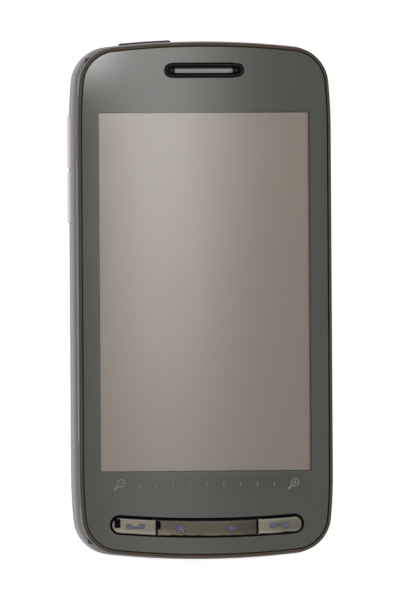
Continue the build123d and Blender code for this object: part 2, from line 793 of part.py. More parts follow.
# Base housing: a tub with the battery bay, the stylus bore and the openings of its back and rim.
with BuildPart() as housing:
    with BuildSketch():
        add(base_outline())
    extrude(amount=deck_z)
    fillet(housing.faces().sort_by(Axis.Z)[0].edges(), base_edge_radius)
    with BuildSketch(Plane.XY.offset(base_floor)):
        add(base_outline(-base_wall))
    extrude(amount=deck_z, mode=Mode.SUBTRACT)
    with BuildSketch():
        add(cover_panel(fit))
    extrude(amount=cover_thickness + fit, mode=Mode.SUBTRACT)
    with BuildSketch():
        with Locations((0, battery_centre_y)):
            RectangleRounded(
                battery_width + 2 * battery_play,
                battery_length + 2 * battery_play,
                battery_corner + battery_play,
            )
        with Locations((0, speaker_y)):
            SlotOverall(speaker_plate_length - 2 * speaker_ledge, speaker_plate_width - 2 * speaker_ledge)
        with Locations((camera_x, camera_y)):
            Circle(camera_lens_radius + camera_snout_wall + 2 * fit)
        with Locations(*boss_places):
            Circle(screw_radius + fit)
    extrude(amount=base_floor + fit, mode=Mode.SUBTRACT)
    with BuildSketch():
        with Locations((0, speaker_y)):
            SlotOverall(speaker_plate_length + 2 * fit, speaker_plate_width + 2 * fit)
        with Locations((camera_x, camera_y)):
            Circle(camera_ring_radius + fit)
    extrude(amount=speaker_plate_sink + speaker_plate_thickness + touch_gap, mode=Mode.SUBTRACT)
    with BuildSketch():
        with Locations(*boss_places):
            Circle(screw_head_radius + fit)
    extrude(amount=screw_z + screw_head_height + touch_gap, mode=Mode.SUBTRACT)
    with Locations((stylus_x, silo_bottom_y, stylus_z)):
        Cylinder(
            silo_radius + fit,
            silo_top_y - silo_bottom_y + 2 * halves_gap,
            rotation=(-90, 0, 0),
            align=LOW,
            mode=Mode.SUBTRACT,
        )
        Cylinder(
            stylus_cap_radius + fit,
            base_half_length,
            rotation=(90, 0, 0),
            align=LOW,
            mode=Mode.SUBTRACT,
        )
    with Locations((0, -base_half_length, usb_centre_z)):
        Box(usb_width + 2 * edge_fit, 4 * base_wall, usb_height + 2 * edge_fit, mode=Mode.SUBTRACT)
    with Locations((microphone_x, -base_half_length, microphone_z)):
        Cylinder(microphone_hole_radius, 4 * base_wall, rotation=(90, 0, 0), mode=Mode.SUBTRACT)
    with BuildSketch(Plane.XY.offset(side_key_centre_z - side_key_height / 2 - edge_fit)):
        for low_y, high_y in side_keys.values():
            middle = (-base_half_width, (low_y + high_y) / 2)
            length = high_y - low_y + 2 * edge_fit
            add(rim_band(side_key_proud, -base_wall - fit, middle, key_band, length))
        add(
            rim_band(
                side_key_proud,
                -base_wall - fit,
                power_centre,
                power_width + 2 * edge_fit,
                key_band,
            )
        )
    extrude(amount=side_key_height + 2 * edge_fit, mode=Mode.SUBTRACT)
save(housing, "base_housing")

with BuildPart() as battery_cover:
    with BuildSketch():
        add(base_outline())
    extrude(amount=base_height / 2)
    fillet(battery_cover.faces().sort_by(Axis.Z)[0].edges(), base_edge_radius)
    with BuildSketch():
        add(cover_panel())
    extrude(amount=cover_thickness, mode=Mode.INTERSECT)
    with BuildSketch():
        with Locations((0, cover_top_y - cover_grip_drop)):
            SlotOverall(cover_grip_length, cover_grip_width)
    extrude(amount=cover_grip_depth, mode=Mode.SUBTRACT)
save(battery_cover, "battery_cover")

# Keyboard deck: the plate round the keys, with a shallow well for them and slots for the shoes' necks.
slot_length = shoe_length + slide_travel + 2 * halves_gap
keyboard_depth = key_rows * key_row_pitch
keyboard_length = key_columns * key_column_pitch
with BuildPart() as deck:
    with BuildSketch(Plane.XY.offset(deck_z)):
        add(base_outline())
    extrude(amount=deck_thickness)
    fillet(deck.faces().sort_by(Axis.Z)[-1].edges(), deck_edge_radius)
    with BuildSketch(Plane.XY.offset(deck_z)):
        for row in range(key_rows):
            with Locations(*key_places(row)):
                RectangleRounded(key_depth + 2 * edge_fit, key_width + 2 * edge_fit, key_corner)
        with Locations((space_x, space_y)):
            RectangleRounded(key_depth + 2 * edge_fit, space_width + 2 * edge_fit, key_corner)
        for y in rail_ends:
            with Locations((shoe_centre_x + slide_travel / 2, y)):
                SlotOverall(slot_length, rail_mouth)
    extrude(amount=deck_thickness, mode=Mode.SUBTRACT)
    with BuildSketch(Plane.XY.offset(base_height)):
        with Locations((keyboard_centre_x, 0)):
            RectangleRounded(
                keyboard_depth + key_well_margin,
                keyboard_length + key_well_margin,
                key_corner + key_well_margin / 2,
            )
    extrude(amount=-key_well_depth, mode=Mode.SUBTRACT)
save(deck, "keyboard_deck")

with BuildPart() as inserts:
    with Locations(*[(x, y, deck_z) for x, y in boss_places]):
        Cylinder(boss_radius, deck_z - boss_z, align=HIGH)
    with Locations(*[(x, y, boss_z) for x, y in boss_places]):
        Cylinder(screw_radius + touch_gap, screw_length, align=LOW, mode=Mode.SUBTRACT)
save(inserts, "screw_inserts")

for row in range(key_rows):
    with BuildPart() as caps:
        with BuildSketch(Plane.XY.offset(cap_z)):
            with Locations(*key_places(row)):
                RectangleRounded(key_depth, key_width, key_corner)
        extrude(amount=key_cap_thickness)
        chamfer(caps.edges().group_by(Axis.Z)[-1], key_cap_chamfer)
    save(caps, f"key_row_{row + 1}")

with BuildPart() as space_bar:
    with BuildSketch(Plane.XY.offset(cap_z)):
        with Locations((space_x, space_y)):
            RectangleRounded(key_depth, space_width, key_corner)
    extrude(amount=key_cap_thickness)
    chamfer(space_bar.edges().group_by(Axis.Z)[-1], key_cap_chamfer)
save(space_bar, "space_bar")

with BuildPart() as mat:
    with BuildSketch(Plane.XY.offset(mat_z)):
        with Locations((keyboard_centre_x, 0)):
            RectangleRounded(keyboard_depth, keyboard_length, key_corner)
    extrude(amount=mat_thickness)
save(mat, "keypad_mat")

with BuildPart() as keypad_board:
    with BuildSketch(Plane.XY.offset(keypad_board_z)):
        with Locations((keyboard_centre_x, 0)):
            RectangleRounded(
                keyboard_depth + 2 * keypad_board_margin,
                keyboard_length + 2 * keypad_board_margin,
                key_corner,
            )
    extrude(amount=keypad_board_thickness)
save(keypad_board, "keypad_board")

with BuildPart() as main_board:
    with BuildSketch(Plane.XY.offset(board_z)):
        with Locations(((board_left_x + board_right_x) / 2, 0)):
            RectangleRounded(board_right_x - board_left_x, 2 * board_half_length, key_corner)
    extrude(amount=board_thickness)
save(main_board, "main_board")

# ---- what hangs under the main board -------------------------------------------------------------------


def hang(name, centre, size, corner):
    """Save a round-cornered block with its top on the main board's underside."""
    with BuildPart() as block:
        with BuildSketch(Plane.XY.offset(board_z)):
            with Locations(centre):
                RectangleRounded(size[0], size[1], corner)
        extrude(amount=-size[2])
    save(block, name)


speaker_bottom_y = speaker_y - loudspeaker_width / 2
contact_y = battery_top_y + contact_gap + contact_depth / 2
shield_bottom_y = battery_top_y + contact_gap + contact_depth + component_gap
shield_y = (shield_bottom_y + speaker_bottom_y - component_gap) / 2
shield_depth = speaker_bottom_y - shield_bottom_y - component_gap
socket_top_y = battery_bottom_y - component_gap
socket_y = (socket_top_y - board_half_length) / 2
socket_depth = socket_top_y + board_half_length
sim_x = board_right_x - sim_width / 2 - component_gap
card_x = -battery_width / 2 + card_width / 2
strip_width = -battery_width / 2 - board_left_x - 2 * component_gap
hang("battery_contacts", (0, contact_y), (contact_width, contact_depth, contact_height), fit)
hang("radio_shield", (0, shield_y), (battery_width, shield_depth, shield_height), component_corner)
hang("sim_holder", (sim_x, socket_y), (sim_width, socket_depth, socket_height), component_corner)
hang("card_slot", (card_x, socket_y), (card_width, socket_depth, socket_height), component_corner)
hang(
    "processor_shield",
    ((board_left_x - battery_width / 2) / 2, battery_centre_y - processor_drop),
    (strip_width, processor_length, shield_height),
    component_corner,
)

with BuildPart() as battery:
    with BuildSketch(Plane.XY.offset(battery_z)):
        with Locations((0, battery_centre_y)):
            RectangleRounded(battery_width, battery_length, battery_corner)
    extrude(amount=battery_thickness)
    fillet(battery.edges().group_by(Axis.Z)[-1], battery_edge_radius)
save(battery, "battery")

with BuildPart() as motor:
    with Locations((motor_x, motor_y, board_z - motor_radius - touch_gap)):
        Cylinder(motor_radius, motor_length, rotation=(90, 0, 0))
save(motor, "vibration_motor")

# ---- camera --------------------------------------------------------------------------------------------

lens_z = camera_ring_sink + camera_lens_sink
with BuildPart() as camera:
    with BuildSketch(Plane.XY.offset(base_floor + touch_gap)):
        with Locations((camera_x, camera_y)):
            RectangleRounded(camera_size, camera_size, key_corner)
    extrude(amount=camera_height)
    with Locations((camera_x, camera_y, base_floor + touch_gap)):
        Cylinder(
            camera_lens_radius + camera_snout_wall,
            base_floor - lens_z - camera_lens_height,
            align=HIGH,
        )
save(camera, "camera_module")

with BuildPart() as camera_ring:
    with BuildSketch(Plane.XY.offset(camera_ring_sink)):
        with Locations((camera_x, camera_y)):
            Circle(camera_ring_radius)
            Circle(camera_lens_radius + touch_gap, mode=Mode.SUBTRACT)
    extrude(amount=camera_ring_height)
    chamfer(camera_ring.edges().group_by(Axis.Z)[0], camera_ring_chamfer)
save(camera_ring, "camera_ring")

with BuildPart() as lens:
    with Locations((camera_x, camera_y, lens_z)):
        Cylinder(camera_lens_radius, camera_lens_height, align=LOW)
    fillet(lens.edges().group_by(Axis.Z)[0], camera_lens_edge_radius)
save(lens, "camera_lens")

# ---- loudspeaker and its mute button -------------------------------------------------------------------

with BuildPart() as speaker_plate:
    with BuildSketch(Plane.XY.offset(speaker_plate_sink)):
        with Locations((0, speaker_y)):
            SlotOverall(speaker_plate_length, speaker_plate_width)
            Circle(mute_radius + edge_fit, mode=Mode.SUBTRACT)
        with Locations((-speaker_slot_reach, speaker_y), (speaker_slot_reach, speaker_y)):
            with GridLocations(0, speaker_slot_pitch, 1, speaker_slot_rows):
                SlotOverall(speaker_slot_length, speaker_slot_width, mode=Mode.SUBTRACT)
    extrude(amount=speaker_plate_thickness)
save(speaker_plate, "speaker_grille")

mute_flange_z = speaker_plate_sink + speaker_plate_thickness + touch_gap
mute_flange_height = base_floor - touch_gap - mute_travel - mute_flange_z
with BuildPart() as mute:
    with Locations((0, speaker_y, mute_flange_z)):
        Cylinder(mute_flange_radius, mute_flange_height, align=LOW)
        Cylinder(mute_radius, mute_flange_z - speaker_plate_sink, align=HIGH)
    fillet(mute.edges().group_by(Axis.Z)[0], mute_edge_radius)
save(mute, "mute_button")

with BuildPart() as mute_switch:
    with BuildSketch(Plane.XY.offset(base_floor)):
        with Locations((0, speaker_y)):
            RectangleRounded(mute_switch_side, mute_switch_side, key_corner)
    extrude(amount=mute_switch_thickness)
save(mute_switch, "mute_switch")

with BuildPart() as loudspeaker:
    with BuildSketch(Plane.XY.offset(base_floor + mute_switch_thickness + touch_gap)):
        with Locations((0, speaker_y)):
            RectangleRounded(loudspeaker_length, loudspeaker_width, loudspeaker_corner)
    extrude(amount=loudspeaker_height)
save(loudspeaker, "loudspeaker")

# ---- keys on the rim -----------------------------------------------------------------------------------

side_key_z = side_key_centre_z - side_key_height / 2
flange_outer = -base_wall - touch_gap
flange_inner = flange_outer - side_key_flange
for key_name, (low_y, high_y) in side_keys.items():
    middle = (-base_half_width, (low_y + high_y) / 2)
    with BuildPart() as side_key:
        with BuildSketch(Plane.XY.offset(side_key_z)):
            add(rim_band(side_key_proud, flange_inner, middle, key_band, high_y - low_y))
        extrude(amount=side_key_height)
        fillet(side_key.faces().sort_by(Axis.X)[0].edges(), side_key_edge_radius)
        with BuildSketch(Plane.XY.offset(side_key_z - side_key_flange)):
            add(rim_band(flange_outer, flange_inner, middle, key_band, high_y - low_y))
        extrude(amount=side_key_height + 2 * side_key_flange)
    save(side_key, key_name)

with BuildPart() as power_key:
    with BuildSketch(Plane.XY.offset(side_key_z)):
        add(rim_band(power_key_proud, flange_inner, power_centre, power_width, key_band))
    extrude(amount=side_key_height)
    fillet(power_key.faces().sort_by(Axis.Y)[-1].edges(), side_key_edge_radius)
    with BuildSketch(Plane.XY.offset(side_key_z - side_key_flange)):
        add(rim_band(flange_outer, flange_inner, power_centre, power_width, key_band))
    extrude(amount=side_key_height + 2 * side_key_flange)
save(power_key, "power_key")

side_board_x = -base_half_width - flange_inner + side_key_travel + side_switch_thickness + touch_gap
with BuildPart() as side_board:
    with Locations((side_board_x, (volume_up_y[1] + volume_down_y[0]) / 2, side_key_centre_z)):
        Box(
            side_board_thickness,
            volume_up_y[1] - volume_down_y[0],
            side_key_height,
            align=(Align.MIN, Align.CENTER, Align.CENTER),
        )
    for low_y, high_y in side_keys.values():
        with Locations((side_board_x, (low_y + high_y) / 2, side_key_centre_z)):
            Cylinder(side_switch_radius, side_switch_thickness, rotation=(0, -90, 0), align=LOW)
save(side_board, "side_key_board")

power_switch_y = base_half_length + flange_inner - side_key_travel - power_switch_clear
with BuildPart() as power_switch:
    with Locations((power_centre[0], power_switch_y, base_floor)):
        Box(
            power_switch_width,
            power_switch_depth,
            power_switch_height,
            align=(Align.CENTER, Align.MAX, Align.MIN),
        )
save(power_switch, "power_switch")

# ---- connector, microphone and antenna at the bottom end -----------------------------------------------

usb_front_y = -base_half_length + usb_inset
with BuildPart() as usb:
    with Locations((0, usb_front_y, usb_centre_z)):
        Box(usb_width, usb_length, usb_height, align=(Align.CENTER, Align.MIN, Align.CENTER))
    chamfer(usb.edges().filter_by(Axis.Y).group_by(Axis.Z)[0], usb_corner)
    shell = usb.faces().sort_by(Axis.Y)[0]
    offset(amount=-usb_wall, openings=shell)
    with Locations((0, usb_front_y + usb_length, usb_centre_z)):
        Box(
            usb_tongue_width,
            usb_length - 2 * usb_wall,
            usb_tongue_height,
            align=(Align.CENTER, Align.MAX, Align.CENTER),
        )
save(usb, "usb_connector")

microphone_y = -base_half_length + base_wall + microphone_hole_radius
with BuildPart() as microphone:
    with Locations((microphone_x, microphone_y, microphone_z)):
        Cylinder(microphone_radius, microphone_length, rotation=(-90, 0, 0), align=LOW)
save(microphone, "microphone")

with BuildPart() as antenna:
    with BuildSketch(Plane.XY.offset(base_floor + touch_gap)):
        add(base_outline(-base_wall - 2 * fit))
        with Locations((-usb_width / 2 - antenna_usb_gap, -base_half_length)):
            Rectangle(
                base_half_width - antenna_side_inset - usb_width / 2 - antenna_usb_gap,
                2 * antenna_reach,
                align=(Align.MAX, Align.CENTER),
                mode=Mode.INTERSECT,
            )
        with Locations(*boss_places):
            Circle(boss_radius + fit, mode=Mode.SUBTRACT)
    extrude(amount=antenna_height)
save(antenna, "antenna_carrier")

with BuildPart() as base_screws:
    with Locations(*[(x, y, screw_z) for x, y in boss_places]):
        Cylinder(screw_head_radius, screw_head_height, align=LOW)
        Cylinder(screw_radius, screw_length, align=LOW)
save(base_screws, "base_screws")

# ---- stylus and its silo -------------------------------------------------------------------------------

with BuildPart() as silo:
    with Locations((stylus_x, silo_bottom_y, stylus_z)):
        Cylinder(silo_radius, silo_top_y - silo_bottom_y, rotation=(-90, 0, 0), align=LOW)
        Cylinder(
            silo_radius - silo_wall,
            silo_top_y - silo_bottom_y - silo_wall,
            rotation=(-90, 0, 0),
            align=LOW,
            mode=Mode.SUBTRACT,
        )
save(silo, "stylus_silo")

stylus_foot_y = silo_bottom_y - fit
stylus_length = silo_top_y - silo_wall - halves_gap - stylus_tip_length - stylus_foot_y
with BuildPart() as stylus:
    with Locations((stylus_x, stylus_foot_y, stylus_z)):
        Cylinder(stylus_radius, stylus_length, rotation=(-90, 0, 0), align=LOW)
save(stylus, "stylus_barrel")

with BuildPart() as tip:
    with Locations((stylus_x, stylus_foot_y + stylus_length, stylus_z)):
        Cone(stylus_radius, stylus_point_radius, stylus_tip_length, rotation=(-90, 0, 0), align=LOW)
save(tip, "stylus_tip")

with BuildPart() as cap:
    with BuildSketch():
        add(base_outline())
    extrude(amount=deck_z)
    fillet(cap.faces().sort_by(Axis.Z)[0].edges(), base_edge_radius)
    with Locations((stylus_x, stylus_foot_y, stylus_z)):
        Cylinder(
            stylus_cap_radius,
            base_half_length,
            rotation=(90, 0, 0),
            align=LOW,
            mode=Mode.INTERSECT,
        )
save(cap, "stylus_cap")
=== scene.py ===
"""Looks of a slider phone: the finishes of its CAD pieces, the fine pieces on them, and a plain studio.

Lengths are written in millimetres and scaled to metres where Blender takes them. Every pattern is laid
out in the phone's own frame: X across the display, Y up the display, Z out of the display.
"""
import logging
from abc import ABC, abstractmethod
from dataclasses import dataclass
from enum import Enum
from math import asin, cos, pi, radians, sin
from typing import Any, ClassVar, Iterable, Optional, Sequence, Union

import bmesh
import bpy
from mathutils import Matrix, Vector


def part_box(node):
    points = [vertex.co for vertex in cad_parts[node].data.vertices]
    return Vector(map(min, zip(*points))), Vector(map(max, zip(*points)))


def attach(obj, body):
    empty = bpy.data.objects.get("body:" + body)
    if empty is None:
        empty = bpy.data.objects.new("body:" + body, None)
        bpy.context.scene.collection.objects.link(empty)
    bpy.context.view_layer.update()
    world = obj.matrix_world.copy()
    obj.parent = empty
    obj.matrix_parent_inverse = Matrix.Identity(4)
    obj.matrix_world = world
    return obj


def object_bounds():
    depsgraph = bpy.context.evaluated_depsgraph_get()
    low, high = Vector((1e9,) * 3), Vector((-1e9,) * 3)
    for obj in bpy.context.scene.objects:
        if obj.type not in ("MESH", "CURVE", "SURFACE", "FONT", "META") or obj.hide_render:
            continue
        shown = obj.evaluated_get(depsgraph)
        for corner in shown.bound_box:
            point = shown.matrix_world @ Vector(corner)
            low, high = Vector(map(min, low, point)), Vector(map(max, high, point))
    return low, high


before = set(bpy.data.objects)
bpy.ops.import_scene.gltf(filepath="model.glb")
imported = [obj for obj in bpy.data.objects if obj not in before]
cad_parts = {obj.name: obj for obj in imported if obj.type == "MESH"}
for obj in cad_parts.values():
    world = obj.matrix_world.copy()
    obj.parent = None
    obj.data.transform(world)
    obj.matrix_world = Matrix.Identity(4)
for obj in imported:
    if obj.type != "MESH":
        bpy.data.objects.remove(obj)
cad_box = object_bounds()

MM = 0.001
log = logging.getLogger("phone")

Point = tuple[float, float]
Triple = tuple[float, float, float]
Colour = tuple[float, float, float]
Sides = tuple[float, float, float, float]
Value = Union["Sock", float, int]
Paint = Union["Sock", Colour]

WHITE: Colour = (1.0, 1.0, 1.0)


# ---- shader expressions ---------------------------------------------------------------------------------


class Reach(Enum):
    """What a pattern of cells gives the distance to."""

    POINT = "F1"
    WALL = "DISTANCE_TO_EDGE"


class Ray(Enum):
    """Kinds of ray that a studio surface tells apart."""

    CAMERA = "Is Camera Ray"
    GLOSSY = "Is Glossy Ray"
    THROUGH = "Is Transmission Ray"
    DIFFUSE = "Is Diffuse Ray"


@dataclass(frozen=True)
class Hairlines:
    """Sparse fine lines: length and width in millimetres, direction in degrees, share of the surface."""

    length: float
    width: float
    turn: float
    share: float


class Sock:
    """An output socket that takes part in Python expressions, each of which adds Math nodes."""

    def __init__(self, graph: "Graph", socket: Optional[bpy.types.NodeSocket]) -> None:
        """Wraps an output socket of a graph, or None for a node that has no output."""
        self.graph = graph
        self.socket = socket

    def _math(self, operation: str, left: Value, right: Value = 0.0, clamp: bool = False) -> "Sock":
        """One Math node on two operands, whose result may be kept from 0 to 1."""
        settings = {"operation": operation, "use_clamp": clamp}
        return self.graph.node("ShaderNodeMath", settings, {0: left, 1: right})

    def __add__(self, other: Value) -> "Sock":
        """Sum."""
        return self._math("ADD", self, other)

    def __radd__(self, other: Value) -> "Sock":
        """Sum with a number on the left."""
        return self._math("ADD", other, self)

    def __sub__(self, other: Value) -> "Sock":
        """Difference."""
        return self._math("SUBTRACT", self, other)

    def __rsub__(self, other: Value) -> "Sock":
        """Difference from a number on the left."""
        return self._math("SUBTRACT", other, self)

    def __mul__(self, other: Value) -> "Sock":
        """Product."""
        return self._math("MULTIPLY", self, other)

    def __rmul__(self, other: Value) -> "Sock":
        """Product with a number on the left."""
        return self._math("MULTIPLY", other, self)

    def __truediv__(self, other: Value) -> "Sock":
        """Quotient."""
        return self._math("DIVIDE", self, other)

    def __rtruediv__(self, other: Value) -> "Sock":
        """Quotient of a number on the left."""
        return self._math("DIVIDE", other, self)

    def __abs__(self) -> "Sock":
        """Absolute value."""
        return self._math("ABSOLUTE", self)

    def least(self, other: Value) -> "Sock":
        """The lower of this and another value."""
        return self._math("MINIMUM", self, other)

    def most(self, other: Value) -> "Sock":
        """The higher of this and another value."""
        return self._math("MAXIMUM", self, other)

    def hill(self, middle: float, width: float) -> "Sock":
        """Bell curve of this value: 1 at its middle, with a standard deviation."""
        off = (self - middle) / width
        return self._math("EXPONENT", off * off * -0.5)

    def unit(self) -> "Sock":
        """This value kept from 0 to 1."""
        return self._math("ADD", self, 0.0, clamp=True)

    def ramp(self, low: float, high: float) -> "Sock":
        """Smooth step of this value.

        Args:
            low: Where the step is 0.
            high: Where the step is 1. It may lie under low, for a step that falls.

        Returns:
            A value from 0 to 1.
        """
        settings = {"interpolation_type": "SMOOTHSTEP", "clamp": True}
        inputs = {"Value": self, "From Min": low, "From Max": high}
        return self.graph.node("ShaderNodeMapRange", settings, inputs)

    def within(self, low: float, high: float, soft: float) -> "Sock":
        """Band of this value: 1 between two edges and 0 outside them, with soft changes."""
        half = soft / 2
        return self.ramp(low - half, low + half) * self.ramp(high + half, high - half)


class Graph:
    """The node tree of one material or of the world."""

    HAIRLINE_STEP: ClassVar[Point] = (0.79, 0.80)

    def __init__(self, tree: bpy.types.NodeTree) -> None:
        """Empties a node tree to draw in."""
        self.tree = tree
        tree.nodes.clear()

    def node(
        self,
        kind: str,
        settings: Optional[dict[str, Any]] = None,
        inputs: Optional[dict[Union[int, str], Any]] = None,
        out: Union[int, str] = 0,
    ) -> Sock:
        """Adds any node.

        Args:
            kind: The node's type.
            settings: Its settings, which are set first.
            inputs: The values or links of its sockets, by index or name.
            out: Which output is wanted.

        Returns:
            That output.
        """
        made = self.tree.nodes.new(kind)
        for name, value in (settings or {}).items():
            setattr(made, name, value)
        for key, value in (inputs or {}).items():
            if isinstance(value, Sock):
                self.tree.links.new(value.socket, made.inputs[key])
            else:
                made.inputs[key].default_value = value
        return Sock(self, made.outputs[out] if made.outputs else None)

    def place(self) -> Sock:
        """Where a point of the surface is, in millimetres of the phone's frame."""
        where = self.node("ShaderNodeTexCoord", out="Object")
        return self.node("ShaderNodeVectorMath", {"operation": "SCALE"}, {0: where, "Scale": 1 / MM})

    def facing(self) -> tuple[Sock, Sock, Sock]:
        """The surface's normal in the phone's frame, as three values."""
        return self.split(self.node("ShaderNodeTexCoord", out="Normal"))

    def ray(self, kind: Ray) -> Sock:
        """1 for rays of a kind, and 0 for others."""
        return self.node("ShaderNodeLightPath", out=kind.value)

    def split(self, vector: Sock) -> tuple[Sock, Sock, Sock]:
        """A vector's three values.

        Args:
            vector: The vector.

        Returns:
            X, Y and Z.
        """
        x = self.node("ShaderNodeSeparateXYZ", None, {0: vector})
        outputs = x.socket.node.outputs
        return x, Sock(self, outputs[1]), Sock(self, outputs[2])

    def stretch(self, vector: Paint, factors: Union[Sock, Triple]) -> Sock:
        """A vector or a colour times three factors, one for each axis or channel."""
        return self.node("ShaderNodeVectorMath", {"operation": "MULTIPLY"}, {0: vector, 1: factors})

    def noise(self, vector: Sock, grain: float, detail: float = 3.0, rough: float = 0.55) -> Sock:
        """Noise from 0 to 1, with features of a size in millimetres and a number of octaves."""
        inputs = {"Vector": vector, "Scale": 1 / grain, "Detail": detail, "Roughness": rough}
        return self.node("ShaderNodeTexNoise", None, inputs, "Fac")

    def streaks(self, vector: Sock, factors: Triple, detail: float) -> Sock:
        """Noise from 0 to 1, with a number of features to a millimetre along each axis."""
        inputs = {"Vector": self.stretch(vector, factors), "Scale": 1.0, "Detail": detail}
        return self.node("ShaderNodeTexNoise", None, inputs, "Fac")

    def cells(self, vector: Sock, grain: float, reach: Reach = Reach.POINT) -> Sock:
        """Distance, in cells of a size in millimetres, to the nearest of what reach names."""
        inputs = {"Vector": vector, "Scale": 1 / grain}
        return self.node("ShaderNodeTexVoronoi", {"feature": reach.value}, inputs, "Distance")

    def scratches(self, vector: Sock, lines: Hairlines) -> Sock:
        """Sparse fine hairlines.

        Args:
            vector: Place in millimetres.
            lines: Their sizes, direction and share.

        Returns:
            1 on a line and 0 between them.
        """
        inputs = {"Vector": vector, "Angle": radians(lines.turn)}
        turned = self.node("ShaderNodeVectorRotate", {"rotation_type": "Z_AXIS"}, inputs)
        across = 1 / lines.width
        drawn = self.streaks(turned, (1 / lines.length, across, across), detail=1.0)
        foot, crest = self.HAIRLINE_STEP
        return drawn.ramp(foot - lines.share, crest - lines.share / 2)

    @staticmethod
    def _rgba(value: Any) -> Any:
        """A colour with its fourth number, and anything else as it is."""
        return (*value, 1.0) if isinstance(value, tuple) and len(value) == 3 else value

    def mix(self, low: Paint, high: Paint, factor: Value) -> Sock:
        """One colour over another, by how much of the upper one shows."""
        inputs = {"Factor": factor, 6: self._rgba(low), 7: self._rgba(high)}
        return self.node("ShaderNodeMix", {"data_type": "RGBA"}, inputs, 2)

    def tint(self, colour: Paint, factor: Sock) -> Sock:
        """A colour made lighter or darker by a factor."""
        grey = self.node("ShaderNodeCombineXYZ", None, {0: factor, 1: factor, 2: factor})
        return self.stretch(colour, grey)

    def bump(self, height: Sock, depth: float) -> Sock:
        """A normal that follows a height, where 1 stands a depth in millimetres over 0."""
        inputs = {"Height": height, "Distance": depth * MM, "Strength": 1.0}
        return self.node("ShaderNodeBump", None, inputs, "Normal")

    def principled(self, **inputs: Any) -> Sock:
        """The plain surface shader, by its sockets' names with _ for a space."""
        named = {key.replace("_", " "): self._rgba(value) for key, value in inputs.items()}
        return self.node("ShaderNodeBsdfPrincipled", None, named)

    def clear(self, colour: Colour = WHITE) -> Sock:
        """A shader that lets light straight through, tinted by a colour."""
        return self.node("ShaderNodeBsdfTransparent", None, {"Color": self._rgba(colour)})

    def glow(self, colour: Paint, strength: Value = 1.0) -> Sock:
        """A shader that gives off light of a colour."""
        return self.node("ShaderNodeEmission", None, {"Color": self._rgba(colour), "Strength": strength})

    def cover(self, under: Sock, over: Sock, factor: Value) -> Sock:
        """One shader over another, by how much of the upper one shows."""
        return self.node("ShaderNodeMixShader", None, {0: factor, 1: under, 2: over})

    def output(self, shader: Sock, kind: str = "ShaderNodeOutputMaterial") -> None:
        """Ends the graph in an output node of a kind."""
        self.node(kind, None, {"Surface": shader})


# ---- finishes -------------------------------------------------------------------------------------------


class Finish(ABC):
    """A finish that a piece can be dressed in."""

    name: str

    def material(self) -> bpy.types.Material:
        """The finish's material, made once.

        Returns:
            The material.
        """
        made = bpy.data.materials.get(f"finish_{self.name}")
        if made is None:
            made = bpy.data.materials.new(f"finish_{self.name}")
            made.use_nodes = True
            self.draw(Graph(made.node_tree))
        return made

    @abstractmethod
    def draw(self, graph: Graph) -> None:
        """Lays out the finish's nodes in an empty graph."""


